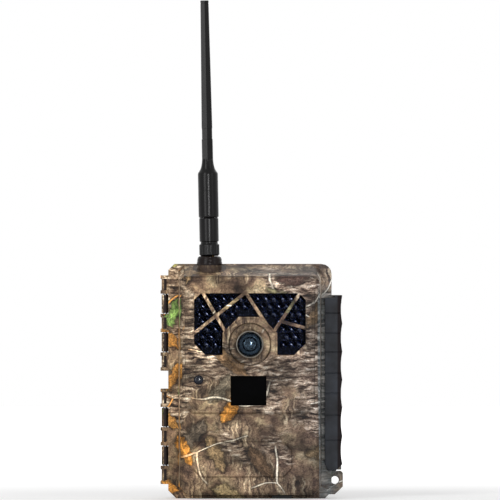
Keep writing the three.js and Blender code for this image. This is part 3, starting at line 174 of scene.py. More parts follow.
def leaves(tree, film, size, seed, share_left, share_right, stops):
    """Scattered pointed leaves with a midrib and side veins: mask, colour and shadow round them.
    The two shares say how many of the places hold a leaf at the left and at the right of the case."""
    spot = add(tree, "Mapping", {"Vector": film, "Location": (seed, seed * 1.7, 0),
                                 "Scale": (1 / size, 1 / size, 1)})
    cells = add(tree, "TexVoronoi", {"Vector": spot, "Scale": 1.0, "Randomness": 0.8},
                voronoi_dimensions="2D", feature="F1")
    centre = cells.node.outputs["Position"]
    dice = add(tree, "SeparateColor", {0: cells.node.outputs["Color"]}).node.outputs
    local = add(tree, "VectorMath", {0: spot, 1: centre}, operation="SUBTRACT")
    turn = add(tree, "Math", {0: dice[0], 1: 6.283}, operation="MULTIPLY")
    turned_spot = add(tree, "VectorRotate", {"Vector": local, "Angle": turn}, rotation_type="Z_AXIS")
    along, across, _ = add(tree, "SeparateXYZ", {0: turned_spot}).node.outputs
    across = add(tree, "Math", {0: across}, operation="ABSOLUTE")
    stretch = add(tree, "Math", {0: along, 1: along}, operation="MULTIPLY")
    taper = add(tree, "Math", {0: stretch, 1: -5.6, 2: 1.0}, operation="MULTIPLY_ADD")
    lobes = add(tree, "TexNoise", {"Vector": spot, "Scale": 9.0, "Detail": 2.0})
    half = add(tree, "Math", {0: lobes, 1: 0.16, 2: 0.085}, operation="MULTIPLY_ADD")
    edge = add(tree, "Math", {0: taper, 1: half}, operation="MULTIPLY")
    inside = add(tree, "Math", {0: edge, 1: across}, operation="SUBTRACT")
    from_left = add(tree, "SeparateXYZ", {0: centre}).node.outputs[0]
    from_left = add(tree, "Math", {0: from_left, 1: seed}, operation="SUBTRACT")
    share = add(tree, "MapRange", {
        0: from_left, 1: -45.0 / size, 2: 5.0 / size, 3: share_left, 4: share_right})
    shown = add(tree, "Math", {0: dice[2], 1: share}, operation="LESS_THAN")
    mask = add(tree, "MapRange", {0: inside, 1: 0.0, 2: 0.03, 3: 0.0, 4: 0.92})
    mask = add(tree, "Math", {0: mask, 1: shown}, operation="MULTIPLY")
    shadow = add(tree, "MapRange", {0: inside, 1: -0.07, 2: 0.0, 3: 0.0, 4: 1.0})
    shadow = add(tree, "Math", {0: shadow, 1: shown}, operation="MULTIPLY")
    shade = add(tree, "ValToRGB", {0: dice[1]}, stops=stops)
    slant = add(tree, "Math", {0: across, 1: -0.8, 2: along}, operation="MULTIPLY_ADD")
    slant = add(tree, "Math", {0: slant, 1: 16.0}, operation="MULTIPLY")
    comb = add(tree, "Math", {0: slant, 1: 1.0}, operation="FLOORED_MODULO")
    veins = add(tree, "Math", {0: comb, 1: 0.2}, operation="LESS_THAN")
    rib = add(tree, "Math", {0: across, 1: 0.012}, operation="LESS_THAN")
    mottle = add(tree, "TexNoise", {"Vector": film, "Scale": 0.5, "Detail": 3.0})
    tone = add(tree, "MapRange", {0: mottle, 1: 0.3, 2: 0.7, 3: 0.4, 4: 1.35})
    shaded_edge = add(tree, "MapRange", {0: inside, 1: 0.0, 2: 0.07, 3: 0.55, 4: 1.0})
    tone = add(tree, "Math", {0: tone, 1: shaded_edge}, operation="MULTIPLY")
    tone = add(tree, "Math", {0: veins, 1: -0.22, 2: tone}, operation="MULTIPLY_ADD")
    tone = add(tree, "Math", {0: rib, 1: 0.5, 2: tone}, operation="MULTIPLY_ADD")
    shade = add(tree, "VectorMath", {0: shade, "Scale": tone}, operation="SCALE")
    return mask, shade, shadow


hinge_axis = (-54.0, 1.025)
antenna_axis = (-26.25, -13.975)
lens_axis = (-1.05, 96.4)
case_middle_x = -1.05
case_middle_z = 73.15


def bare_plastic_and_painted_hinge_shade(tree, place, normal):
    """Where the case has no film: at the root of the antenna's boss, and inside, where surfaces face the
    middle, or the front from behind the rim. The same dark colour is also painted on the inner side of the
    hinge barrels, as painted shade in the gap between barrel and case"""
    x, y, z = add(tree, "SeparateXYZ", {0: place}).node.outputs
    off_boss = add(tree, "VectorMath", {0: place, 1: (*antenna_axis, 146.0)}, out=1, operation="DISTANCE")
    boss_root = add(tree, "Math", {0: off_boss, 1: 10.8}, operation="LESS_THAN")
    boss_root = add(tree, "Math", {0: boss_root, 1: 0.8}, operation="MULTIPLY")
    off_hinge = add(tree, "CombineXYZ", {0: x, 1: y})
    off_hinge = add(tree, "VectorMath", {0: off_hinge, 1: (*hinge_axis, 0.0)}, out=1, operation="DISTANCE")
    on_barrel = add(tree, "Math", {0: off_hinge, 1: 2.6}, operation="LESS_THAN")
    # Painted shade: the inner side of the hinge barrels, where the gap to the case lies in shadow, takes the
    # dark colour
    inboard = add(tree, "Math", {0: x, 1: hinge_axis[0] - 0.8}, operation="GREATER_THAN")
    bare = add(tree, "Math", {0: on_barrel, 1: inboard}, operation="MULTIPLY")
    bare = add(tree, "Math", {0: bare, 1: boss_root}, operation="MAXIMUM")
    inwards = add(tree, "VectorMath", {0: place, 1: (case_middle_x, 0.0, case_middle_z)},
                  operation="SUBTRACT")
    inwards = add(tree, "VectorMath", {0: inwards, 1: (1.0, 0.0, 1.0)}, operation="MULTIPLY")
    inwards = add(tree, "VectorMath", {0: inwards, 1: normal}, out=1, operation="DOT_PRODUCT")
    inwards = add(tree, "Math", {0: inwards, 1: -20.0}, operation="LESS_THAN")
    normal_y = add(tree, "SeparateXYZ", {0: normal}).node.outputs[1]
    forwards = add(tree, "Math", {0: normal_y, 1: -0.7}, operation="LESS_THAN")
    behind_rim = add(tree, "Math", {0: y, 1: 3.0}, operation="GREATER_THAN")
    forwards = add(tree, "Math", {0: forwards, 1: behind_rim}, operation="MULTIPLY")
    inside = add(tree, "Math", {0: inwards, 1: forwards}, operation="MAXIMUM")
    for along, centre, reach in ((x, case_middle_x, 49.75), (z, case_middle_z, 71.95), (y, 8.1, 16.3)):
        within = add(tree, "Math", {0: along, 1: centre, 2: reach}, operation="COMPARE")
        inside = add(tree, "Math", {0: inside, 1: within}, operation="MULTIPLY")
    return add(tree, "Math", {0: bare, 1: inside}, operation="MAXIMUM")


def camouflage(name, seed, face, back):
    """Woodland film on ABS: satin, with bark, twigs and leaves printed a few centimetres long, and grey
    green lichen down the right edge. It is unrolled from the front face at one depth over the sides,
    so that it doesn't smear on them, and shifted along where it lies on the back."""
    material = new_material(name)
    tree = material.node_tree
    place = millimetres(tree)
    x, y, z = add(tree, "SeparateXYZ", {0: place}).node.outputs
    normal = add(tree, "TexCoord", out="Normal")
    normals = add(tree, "SeparateXYZ", {0: normal}).node.outputs
    lean_x, lean_y, lean_z = (add(tree, "Math", {0: part}, operation="ABSOLUTE") for part in normals)
    at_side, at_lid = (
        add(tree, "Math", {0: lean, 1: 0.7}, operation="GREATER_THAN") for lean in (lean_x, lean_z))
    at_back = add(tree, "Math", {0: normals[1], 1: 0.5}, operation="GREATER_THAN")
    depth = add(tree, "Math", {0: y, 1: face}, operation="SUBTRACT")
    right = add(tree, "Math", {0: x}, operation="SIGN")
    height = add(tree, "Math", {0: z, 1: 75.0}, operation="SUBTRACT")
    upper = add(tree, "Math", {0: height}, operation="SIGN")
    around = add(tree, "Math", {0: depth, 1: right}, operation="MULTIPLY")
    over = add(tree, "Math", {0: depth, 1: upper}, operation="MULTIPLY")
    u = add(tree, "Math", {0: at_side, 1: around, 2: x}, operation="MULTIPLY_ADD")
    u = add(tree, "Math", {0: at_back, 1: back, 2: u}, operation="MULTIPLY_ADD")
    v = add(tree, "Math", {0: at_lid, 1: over, 2: z}, operation="MULTIPLY_ADD")
    film = add(tree, "CombineXYZ", {0: u, 1: v})

    # Three bent versions of the film's coordinates, so that nothing printed runs straight
    warped = []
    for scale, detail, reach in ((0.13, 3.0, 9.0), (0.13, 3.0, 4.0), (0.03, 1.0, 26.0)):
        bend = add(tree, "TexNoise", {"Vector": film, "Scale": scale, "Detail": detail}, out=1)
        bend = add(tree, "VectorMath", {0: bend, 1: (0.5, 0.5, 0.5)}, operation="SUBTRACT")
        warped.append(add(tree, "VectorMath", {0: bend, 1: (reach, reach, 0.0), 2: film},
                          operation="MULTIPLY_ADD"))
    drawn, stirred, curved = warped

    # Forest floor, with upright bark over some of it and pale peeled plates over other places
    ground = add(tree, "TexNoise", {"Vector": drawn, "Scale": 0.06, "Detail": 7.0, "Roughness": 0.68})
    ground = add(tree, "ValToRGB", {0: ground}, stops=(
        (0.32, "#1d1612"), (0.43, "#46362a"), (0.52, "#6f5a44"), (0.6, "#93805f"), (0.72, "#bfae8b")))
    upright = add(tree, "Mapping", {"Vector": drawn, "Rotation": (0, 0, 0.14), "Scale": (0.55, 0.055, 1)})
    grain = add(tree, "TexNoise", {"Vector": upright, "Scale": 1.0, "Detail": 5.0, "Roughness": 0.6})
    bark = add(tree, "ValToRGB", {0: grain}, stops=(
        (0.34, "#1c1511"), (0.44, "#574637"), (0.54, "#836e53"), (0.66, "#bfad89")))
    region = add(tree, "Mapping", {"Vector": drawn, "Location": (seed, 3 * seed, 0)})
    region = add(tree, "TexNoise", {"Vector": region, "Scale": 0.028, "Detail": 2.0}, out=1)
    patches = add(tree, "SeparateColor", {0: region}).node.outputs
    level = add(tree, "Mapping", {"Vector": stirred, "Rotation": (0, 0, -0.12), "Scale": (0.11, 0.5, 1)})
    plates = add(tree, "TexNoise", {"Vector": level, "Scale": 1.0, "Detail": 6.0, "Roughness": 0.66})
    pale = add(tree, "ValToRGB", {0: plates}, stops=(
        (0.38, "#1a140f"), (0.46, "#4c3c2f"), (0.53, "#837059"), (0.59, "#ab9a80"), (0.7, "#e0d6bd")))
    base = ground
    for patch, low, high, layer in ((patches[0], 0.47, 0.53, bark), (patches[1], 0.53, 0.57, pale)):
        covered = add(tree, "MapRange", {0: patch, 1: low, 2: high, 3: 0.0, 4: 1.0})
        base = add(tree, "Mix", {0: covered, 6: base, 7: layer}, out=2, data_type="RGBA")

    # Large withered leaves, then smaller ones in green and orange, each with its shadow
    for size, shift, share_left, share_right, stops in (
            (30.0, seed, 0.4, 0.6, ((0.0, "#3a2a22"), (0.35, "#6b5439"), (0.6, "#9a835c"),
                                    (0.8, "#565a3e"), (1.0, "#7c6a59"))),
            (25.0, seed + 5.3, 0.88, 0.12, ((0.0, "#6c8a45"), (0.4, "#92a866"), (0.5, "#987039"),
                                            (0.75, "#c48233"), (1.0, "#cf984a")))):
        mask, shade, shadow = leaves(tree, drawn, size, shift, share_left, share_right, stops)
        dim = add(tree, "MapRange", {0: shadow, 1: 0.0, 2: 1.0, 3: 1.0, 4: 0.32})
        base = add(tree, "VectorMath", {0: base, "Scale": dim}, operation="SCALE")
        base = add(tree, "Mix", {0: mask, 6: base, 7: shade}, out=2, data_type="RGBA")

    # Twigs with their shadows, ochre at the left and pale elsewhere
    twig_spot = add(tree, "Mapping", {"Vector": curved, "Location": (2 * seed, seed, 0),
                                      "Scale": (1 / 44, 1 / 30, 1)})
    twigs = add(tree, "TexVoronoi", {"Vector": twig_spot, "Scale": 1.0, "Randomness": 1.0},
                voronoi_dimensions="2D", feature="DISTANCE_TO_EDGE")
    fork = add(tree, "MapRange", {0: patches[2], 1: 0.49, 2: 0.52, 3: 0.0, 4: 1.0})
    twig_shadow = add(tree, "MapRange", {0: twigs, 1: 0.015, 2: 0.045, 3: 1.0, 4: 0.0})
    twig_shadow = add(tree, "Math", {0: twig_shadow, 1: fork}, operation="MULTIPLY")
    dim = add(tree, "MapRange", {0: twig_shadow, 1: 0.0, 2: 1.0, 3: 1.0, 4: 0.4})
    base = add(tree, "VectorMath", {0: base, "Scale": dim}, operation="SCALE")
    twig = add(tree, "MapRange", {0: twigs, 1: 0.01, 2: 0.016, 3: 1.0, 4: 0.0})
    twig = add(tree, "Math", {0: twig, 1: fork}, operation="MULTIPLY")
    at_left = add(tree, "MapRange", {0: u, 1: -46.0, 2: -28.0, 3: 0.85, 4: 0.0})
    branch = add(tree, "Mix", {0: at_left, 6: "#cfc3a6", 7: "#cf8a2c"}, out=2, data_type="RGBA")
    ring = add(tree, "MapRange", {0: grain, 1: 0.35, 2: 0.6, 3: 0.55, 4: 1.15})
    branch = add(tree, "VectorMath", {0: branch, "Scale": ring}, operation="SCALE")
    base = add(tree, "Mix", {0: twig, 6: base, 7: branch}, out=2, data_type="RGBA")

    # Tone over the whole print: specks, broad dark patches and cracks. Then painted light and shade: the brow
    # over the window lightened, the lid above it darkened, and sloping faces darkened
    speck = add(tree, "TexNoise", {"Vector": film, "Scale": 0.9, "Detail": 4.0, "Roughness": 0.7})
    tone = add(tree, "MapRange", {0: speck, 1: 0.3, 2: 0.7, 3: 0.55, 4: 1.55})
    shadows = add(tree, "Mapping", {"Vector": stirred, "Location": (seed, -seed, 0),
                                    "Scale": (0.045, 0.07, 1)})
    shadows = add(tree, "TexNoise", {"Vector": shadows, "Scale": 1.0, "Detail": 6.0, "Roughness": 0.6})
    deep = add(tree, "MapRange", {0: shadows, 1: 0.36, 2: 0.62, 3: 0.34, 4: 1.75})
    cracks = add(tree, "TexNoise", {"Vector": stirred, "Scale": 0.16, "Detail": 4.0, "Roughness": 0.6})
    cracks = add(tree, "Math", {0: cracks, 1: 0.5}, operation="SUBTRACT")
    cracks = add(tree, "Math", {0: cracks}, operation="ABSOLUTE")
    cracks = add(tree, "MapRange", {0: cracks, 1: 0.0, 2: 0.022, 3: 0.35, 4: 1.0})
    for factor in (deep, cracks):
        tone = add(tree, "Math", {0: tone, 1: factor}, operation="MULTIPLY")
    base = add(tree, "VectorMath", {0: base, "Scale": tone}, operation="SCALE")
    base = add(tree, "VectorMath", {0: base, 1: (1.21, 1.23, 1.45)}, operation="MULTIPLY")
    # Painted light on the brow and painted shade on the lid: lighter from 122 to 131 mm up, darker above
    # 138.5 mm
    painted_brow_light = add(tree, "MapRange", {0: z, 1: 122.0, 2: 131.0, 3: 1.0, 4: 1.38})
    painted_lid_shade = add(tree, "MapRange", {0: z, 1: 138.5, 2: 141.5, 3: 1.0, 4: 0.74})
    painted_brow_and_lid_light = add(tree, "Math", {0: painted_brow_light, 1: painted_lid_shade}, operation="MULTIPLY")
    # Painted shade: faces that lie square to no axis, the slopes, are darkened
    square_on = add(tree, "Math", {0: lean_x, 1: lean_y}, operation="MAXIMUM")
    square_on = add(tree, "Math", {0: square_on, 1: lean_z}, operation="MAXIMUM")
    painted_slope_shade = add(tree, "MapRange", {0: square_on, 1: 0.88, 2: 0.97, 3: 0.74, 4: 1.0})
    for factor in (painted_brow_and_lid_light, painted_slope_shade):
        base = add(tree, "VectorMath", {0: base, "Scale": factor}, operation="SCALE")
    ochre = add(tree, "MapRange", {0: u, 1: -52.0, 2: 52.0, 3: 0.0, 4: 1.0})
    ochre = add(tree, "Mix", {0: ochre, 6: (1.22, 1.18, 1.02, 1.0), 7: (0.79, 0.84, 0.93, 1.0)}, out=2,
                data_type="RGBA")
    base = add(tree, "VectorMath", {0: base, 1: ochre}, operation="MULTIPLY")

    # Lichen, painted light on the ribs across the window, and what the film leaves bare, with painted shade
    # in the gap on the inner side of the hinge barrels
    lichen = add(tree, "ValToRGB", {0: plates}, stops=(
        (0.36, "#33383b"), (0.46, "#687275"), (0.55, "#959fa2"), (0.66, "#c8cdcc")))
    lichened = add(tree, "MapRange", {0: u, 1: 41.9, 2: 42.6, 3: 0.0, 4: 0.52})
    below_lid = add(tree, "MapRange", {0: z, 1: 122.0, 2: 137.0, 3: 1.0, 4: 0.15})
    short_of_edge = add(tree, "MapRange", {0: u, 1: 50.0, 2: 58.0, 3: 1.0, 4: 0.0})
    for factor in (below_lid, short_of_edge):
        lichened = add(tree, "Math", {0: lichened, 1: factor}, operation="MULTIPLY")
    base = add(tree, "Mix", {0: lichened, 6: base, 7: lichen}, out=2, data_type="RGBA")
    off_lens = add(tree, "CombineXYZ", {0: x, 1: z})
    off_lens = add(tree, "VectorMath", {0: off_lens, 1: (*lens_axis, 0.0)}, out=1, operation="DISTANCE")
    clear_of_lens = add(tree, "Math", {0: off_lens, 1: 16.5}, operation="GREATER_THAN")
    in_width = add(tree, "Math", {0: x, 1: lens_axis[0], 2: 34.5}, operation="COMPARE")
    in_height = add(tree, "Math", {0: z, 1: 107.5, 2: 20.6}, operation="COMPARE")
    painted_rib_light = in_width
    for factor in (in_height, clear_of_lens):
        painted_rib_light = add(tree, "Math", {0: painted_rib_light, 1: factor}, operation="MULTIPLY")
    # Painted light: the ribs across the window are made 60 percent lighter
    painted_rib_light = add(tree, "Math", {0: painted_rib_light, 1: 0.6, 2: 1.0}, operation="MULTIPLY_ADD")
    base = add(tree, "VectorMath", {0: base, "Scale": painted_rib_light}, operation="SCALE")
    # The dark colour goes on bare plastic and, as painted shade, on the inner side of the hinge barrels
    bare = bare_plastic_and_painted_hinge_shade(tree, place, normal)
    base = add(tree, "Mix", {0: bare, 6: base, 7: "#1f1513"}, out=2, data_type="RGBA")

    rough = add(tree, "MapRange", {0: speck, 1: 0.3, 2: 0.7, 3: 0.5, 4: 0.64})
    texture = add(tree, "TexNoise", {"Vector": place, "Scale": 2.2, "Detail": 2.0})
    bump = add(tree, "Bump", {"Height": texture, "Strength": 0.35, "Distance": 0.00006})
    shader = add(tree, "BsdfPrincipled", {
        "Base Color": base, "Roughness": rough, "Normal": bump, "IOR": 1.5, "Specular IOR Level": 0.2})
    return finish_material(material, shader)


rear_film = camouflage("ABS with camouflage film, rear", 2.4, 24.0, 180.0)
rear_housing = refined("rear_housing", "rear_shell", shell_edge, 2, shell_angle)
stands_for(rear_housing, rear_film, "camo_shell", "rear_housing")

# Case gasket. A closed ring of black EPDM rubber pressed into its groove in the rear rim, where the
# cover's rim bears on it. Its skin is dull, with the dust and faint bloom that rubber takes on.
def moulded(name, dark, light, roughness, grain, depth=0.03, sheen=0.3, cloud=12.0):
    """A moulded plastic or rubber: two shades in soft clouds, and a fine grain pressed by the mould.
    The grain's pitch and depth and the clouds' size are in millimetres. Black plastics reflect less
    than bare glass does, because of their grain, so the specular level is low."""
    material = new_material(name)
    tree = material.node_tree
    place = millimetres(tree)
    clouds = add(tree, "TexNoise", {"Vector": place, "Scale": 1 / cloud, "Detail": 5.0})
    shade = add(tree, "ValToRGB", {0: clouds}, stops=((0.35, dark), (0.65, light)))
    pores = add(tree, "TexNoise", {"Vector": place, "Scale": 1 / grain, "Detail": 2.0})
    rough = add(tree, "MapRange", {0: pores, 1: 0.3, 2: 0.7, 3: roughness - 0.06, 4: roughness + 0.06})
    bump = add(tree, "Bump", {"Height": pores, "Strength": 0.6, "Distance": depth * MM})
    shader = add(tree, "BsdfPrincipled", {
        "Base Color": shade, "Roughness": rough, "Normal": bump, "IOR": 1.5,
        "Specular IOR Level": sheen})
    return finish_material(material, shader)


black_rubber = moulded("EPDM rubber, black", "#1b1b1c", "#2b2a2a", 0.78, 0.5, 0.04)
gasket = refined("case_gasket", "gasket_ring", 0.35)
stands_for(gasket, black_rubber, "black_rubber", "case_gasket")

# Battery tray. Black ABS with a fine matt grain, open to the front, with ridges between the cells.
# It is screwed into the rear housing and its ends hold the three contact boards.
black_plastic = moulded("ABS, black, fine grain", "#151517", "#222225", 0.48, 0.35, 0.02)
tray = refined("battery_tray", "cell_tray", 0.4)
stands_for(tray, black_plastic, "black_plastic", "battery_tray")

# Contact boards. Glass-epoxy boards with green solder mask, one above, between and below the two rows
# of cells. Nickel-plated springs take the flat ends and small nickel pads take the raised ones.
contact_board_thickness = 1.6
spring_height = 3.0
spring_turns = 4
spring_wire = 0.35
spring_foot = 3.1
spring_head = 2.1
pad_radius = 3.4
pad_thickness = 0.25


def circuit_board(name, mask_dark, mask_light, pad_shade, trace_pitch, sheen=0.5):
    """Glass-epoxy laminate: glossy solder mask, with copper tracks and pads that show through it"""
    material = new_material(name)
    tree = material.node_tree
    place = millimetres(tree)
    x, y, z = add(tree, "SeparateXYZ", {0: place}).node.outputs
    flat = add(tree, "CombineXYZ", {0: x, 1: z})
    cells = add(tree, "TexVoronoi", {"Vector": flat, "Scale": 1 / trace_pitch, "Randomness": 0.35},
                voronoi_dimensions="2D", distance="CHEBYCHEV", feature="F1")
    track = add(tree, "MapRange", {0: cells, 1: 0.36, 2: 0.4, 3: 0.0, 4: 1.0})
    tone = add(tree, "Mix", {0: track, 6: mask_dark, 7: mask_light}, out=2, data_type="RGBA")
    pads = add(tree, "Math", {0: cells, 1: 0.09}, operation="LESS_THAN")
    tone = add(tree, "Mix", {0: pads, 6: tone, 7: pad_shade}, out=2, data_type="RGBA")
    shine = add(tree, "MapRange", {0: pads, 3: 0.32, 4: 0.25})
    bump = add(tree, "Bump", {"Height": track, "Strength": 0.4, "Distance": 0.00003})
    shader = add(tree, "BsdfPrincipled", {
        "Base Color": tone, "Roughness": shine, "Metallic": pads, "Normal": bump,
        "Specular IOR Level": sheen})
    return finish_material(material, shader)


def bright_metal(name, dark, light, roughness, grain=0.12):
    """A plated or rolled metal: fine drawn lines along its length and a slightly uneven shine"""
    material = new_material(name)
    tree = material.node_tree
    place = add(tree, "TexCoord", out="Object")
    lines = add(tree, "Mapping", {"Vector": place, "Scale": (1000 / grain, 1000 / grain, 40.0)})
    lines = add(tree, "TexNoise", {"Vector": lines, "Scale": 1.0, "Detail": 2.0})
    shade = add(tree, "ValToRGB", {0: lines}, stops=((0.3, dark), (0.7, light)))
    rough = add(tree, "MapRange", {0: lines, 1: 0.3, 2: 0.7, 3: roughness - 0.07, 4: roughness + 0.09})
    bump = add(tree, "Bump", {"Height": lines, "Strength": 0.15, "Distance": 0.00002})
    shader = add(tree, "BsdfPrincipled", {
        "Base Color": shade, "Roughness": rough, "Normal": bump, "Metallic": 1.0})
    return finish_material(material, shader)


def add_block(name, low, high):
    """A block between two corners in millimetres"""
    low = Vector(low)
    high = Vector(high)
    bpy.ops.object.select_all(action="DESELECT")
    bpy.ops.mesh.primitive_cube_add(size=1, location=(low + high) / 2 * MM, scale=(high - low) * MM)
    bpy.ops.object.transform_apply(location=True, rotation=True, scale=True)
    piece = bpy.context.object
    piece.name = name
    return piece


def turned(name, profile, sides=48, hollow=False, smooth=0):
    """A piece turned round the Z axis from (radius, height) points in millimetres, made by drawing a
    circle up through them. A hollow one has a closed section and comes back to where it starts. Edges
    below so many degrees are shaded smooth."""
    bpy.ops.object.select_all(action="DESELECT")
    radius, height = profile[0]
    bpy.ops.mesh.primitive_circle_add(
        vertices=sides, radius=radius * MM, location=(0, 0, height * MM),
        fill_type="NOTHING" if hollow else "NGON")
    bpy.ops.object.transform_apply(location=True, rotation=True, scale=True)
    piece = bpy.context.object
    piece.name = name
    bpy.ops.object.mode_set(mode="EDIT")
    bpy.ops.mesh.select_all(action="SELECT")
    for next_radius, next_height in [*profile[1:], *profile[:hollow]]:
        bpy.ops.mesh.extrude_region_move(
            TRANSFORM_OT_translate={"value": (0, 0, (next_height - height) * MM)})
        share = next_radius / radius
        bpy.ops.transform.resize(value=(share, share, 1), center_override=(0, 0, next_height * MM))
        radius, height = next_radius, next_height
    bpy.ops.mesh.select_all(action="SELECT")
    bpy.ops.mesh.remove_doubles(threshold=0.000001)
    bpy.ops.mesh.normals_make_consistent(inside=False)
    bpy.ops.object.mode_set(mode="OBJECT")
    if smooth:
        bpy.ops.object.shade_smooth_by_angle(angle=math.radians(smooth))
    return piece


def settle(piece, place, turn=(0, 0, 0)):
    """Turns a piece by so many degrees and puts it at a place in millimetres"""
    select_only(piece)
    piece.rotation_euler = [math.radians(angle) for angle in turn]
    piece.location = Vector(place) * MM
    bpy.ops.object.transform_apply(location=True, rotation=True, scale=True)
    return piece


def placed_copy(piece, name, place, turn=(0, 0, 0)):
    """A copy with its own mesh, turned by so many degrees and put at a place in millimetres"""
    mesh = piece.data.copy()
    angles = Euler([math.radians(angle) for angle in turn])
    mesh.transform(Matrix.Translation(Vector(place) * MM) @ angles.to_matrix().to_4x4())
    copy = bpy.data.objects.new(name, mesh)
    bpy.context.scene.collection.objects.link(copy)
    return copy


def joined(name, pieces):
    select_only(pieces[0])
    for piece in pieces:
        piece.select_set(True)
    bpy.ops.object.join()
    bpy.context.object.name = name
    return bpy.context.object


def corners(node):
    """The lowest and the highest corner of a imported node's box, in millimetres"""
    return [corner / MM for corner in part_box(node)]


def middle(node):
    """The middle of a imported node's box, in millimetres"""
    low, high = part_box(node)
    return (low + high) / 2 / MM


def spring(name, foot, head, wire, height, turns):
    """A tapered wire spring that stands on z = 0"""
    bpy.ops.object.select_all(action="DESELECT")
    bpy.ops.mesh.primitive_circle_add(
        vertices=8, radius=wire * MM, location=(foot * MM, 0, wire * MM), rotation=(math.pi / 2, 0, 0))
    bpy.ops.object.transform_apply(location=True, rotation=True, scale=True)
    piece = bpy.context.object
    piece.name = name
    coil = piece.modifiers.new("coil", "SCREW")
    coil.screw_offset = (height - 2 * wire) / turns * MM
    coil.iterations = turns
    coil.steps = 20
    coil.render_steps = 20
    coil.use_merge_vertices = True
    apply_modifiers(piece)
    bpy.ops.object.mode_set(mode="EDIT")
    bpy.ops.mesh.select_all(action="SELECT")
    bpy.ops.mesh.remove_doubles(threshold=0.000001)
    bpy.ops.mesh.select_all(action="DESELECT")
    bpy.ops.mesh.select_non_manifold()
    bpy.ops.mesh.edge_face_add()
    bpy.ops.mesh.select_all(action="SELECT")
    bpy.ops.mesh.normals_make_consistent(inside=False)
    bpy.ops.object.mode_set(mode="OBJECT")
    for vertex in piece.data.vertices:
        share = 1 + (head / foot - 1) * vertex.co.z / (height * MM)
        vertex.co.x *= share
        vertex.co.y *= share
    bpy.ops.object.shade_smooth()
    return piece


nickel = bright_metal("Nickel-plated spring steel", "#a9a59c", "#d4d0c6", 0.28)
green_board = circuit_board("Glass-epoxy board, green", "#1d4a30", "#2c6241", "#b9bcb6", 3.2)
for level, level_name in enumerate(("bottom", "middle", "top")):
    board_node = f"contact_board_{level_name}"
    low, high = corners(board_node)
    top = high.z - contact_board_thickness
    base = (low.z, (low.z + top) / 2, top)[level]
    board = add_block("board", (low.x, low.y, base), (high.x, high.y, base + contact_board_thickness))
    rounded(board, 0.15, 1)
    parts = []
    for column in range(1, 7):
        centre = middle(f"cell_1_{column}")
        raised_end_up = column % 2 == 1
        for upper in (True, False):
            if (upper and level == 2) or (not upper and level == 0):
                continue
            sprung = raised_end_up == upper
            surface = base + contact_board_thickness if upper else base
            if sprung:
                room = abs((high.z if upper else low.z) - surface) or spring_height
                part = spring("spring", spring_foot, spring_head, spring_wire,
                              min(room, spring_height), spring_turns)
            else:
                part = turned("pad", [(pad_radius, 0), (pad_radius, pad_thickness * 0.6),
                                      (pad_radius - 0.3, pad_thickness)], 24)
            parts.append(settle(part, (centre.x, centre.y, surface), (0 if upper else 180, 0, 0)))
    contacts = joined(f"contacts_{level_name}", parts)
    stands_for(board, green_board, "circuit_board", board_node)
    board.name = f"board_{level_name}"
    contacts.data.materials.clear()
    contacts.data.materials.append(nickel)
    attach(contacts, "rear")

# AA cells. Drawn steel cans in printed film jackets, with a rolled edge, a bright flat end and a raised
# contact. Twelve of them lie in two rows of six, every second one turned over.
cell_radius = 7.0
jacket_shades = ("#2b4a3a", "#3a5f4a")


def cell_jacket(name):
    """Printed PET film on a steel can: glossy and two plain colours, with bare plated steel at both
    ends. The colours follow the UV map of the circle that the can was drawn from, which tells the side
    of the cell and not the height, so that the pale one runs lengthwise."""
    material = new_material(name)
    tree = material.node_tree
    place = add(tree, "TexCoord", out="UV")
    side = add(tree, "SeparateXYZ", {0: place}).node.outputs[1]
    wear = add(tree, "TexCoord", out="Object")
    scuffs = add(tree, "TexNoise", {"Vector": wear, "Scale": 300.0, "Detail": 4.0})
    film = add(tree, "ValToRGB", {0: scuffs}, stops=((0.35, jacket_shades[0]), (0.65, jacket_shades[1])))
    striped = add(tree, "Math", {0: side, 1: 0.72}, operation="GREATER_THAN")
    film = add(tree, "Mix", {0: striped, 6: film, 7: "#b7b9b4"}, out=2, data_type="RGBA")
    rough = add(tree, "MapRange", {0: scuffs, 1: 0.3, 2: 0.7, 3: 0.22, 4: 0.34})
    shader = add(tree, "BsdfPrincipled", {"Base Color": film, "Roughness": rough, "Coat Weight": 0.5})
    return finish_material(material, shader)


jacket = cell_jacket("PET film jacket on drawn steel")
cell_low, cell_high = corners("cell_1_1")
cell_nub = 1.2
cell_length = cell_high.z - cell_low.z - cell_nub
can = turned("can", [
    (2.0, 0.35), (5.2, 0.35), (5.6, 0.0), (6.3, 0.0), (6.9, 0.5), (cell_radius, 1.2),
    (cell_radius, 1.6), (cell_radius, cell_length - 1.4), (6.85, cell_length - 0.6),
    (6.3, cell_length - 0.1), (5.7, cell_length), (4.6, cell_length - 0.4), (2.9, cell_length - 0.4),
    (2.7, cell_length), (2.7, cell_length + 0.9), (2.4, cell_length + cell_nub),
    (0.8, cell_length + cell_nub)], 40, smooth=35)
can.data.materials.append(jacket)
can.data.materials.append(nickel)
for face in can.data.polygons:
    height = face.center.z / MM
    reach = math.hypot(face.center.x, face.center.y) / MM
    if reach < 6.6 or height > cell_length - 1.0 or height < 1.0:
        face.material_index = 1
for row in (1, 2):
    for column in range(1, 7):
        node = f"cell_{row}_{column}"
        low, high = corners(node)
        flipped = column % 2 == 0
        cell = placed_copy(can, f"aa_{row}_{column}",
                           (middle(node).x, middle(node).y, high.z if flipped else low.z),
                           (180 if flipped else 0, 0, 40.0 * column + 70.0 * row))
        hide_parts(node)
        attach(cell, "rear")
bpy.data.objects.remove(can)

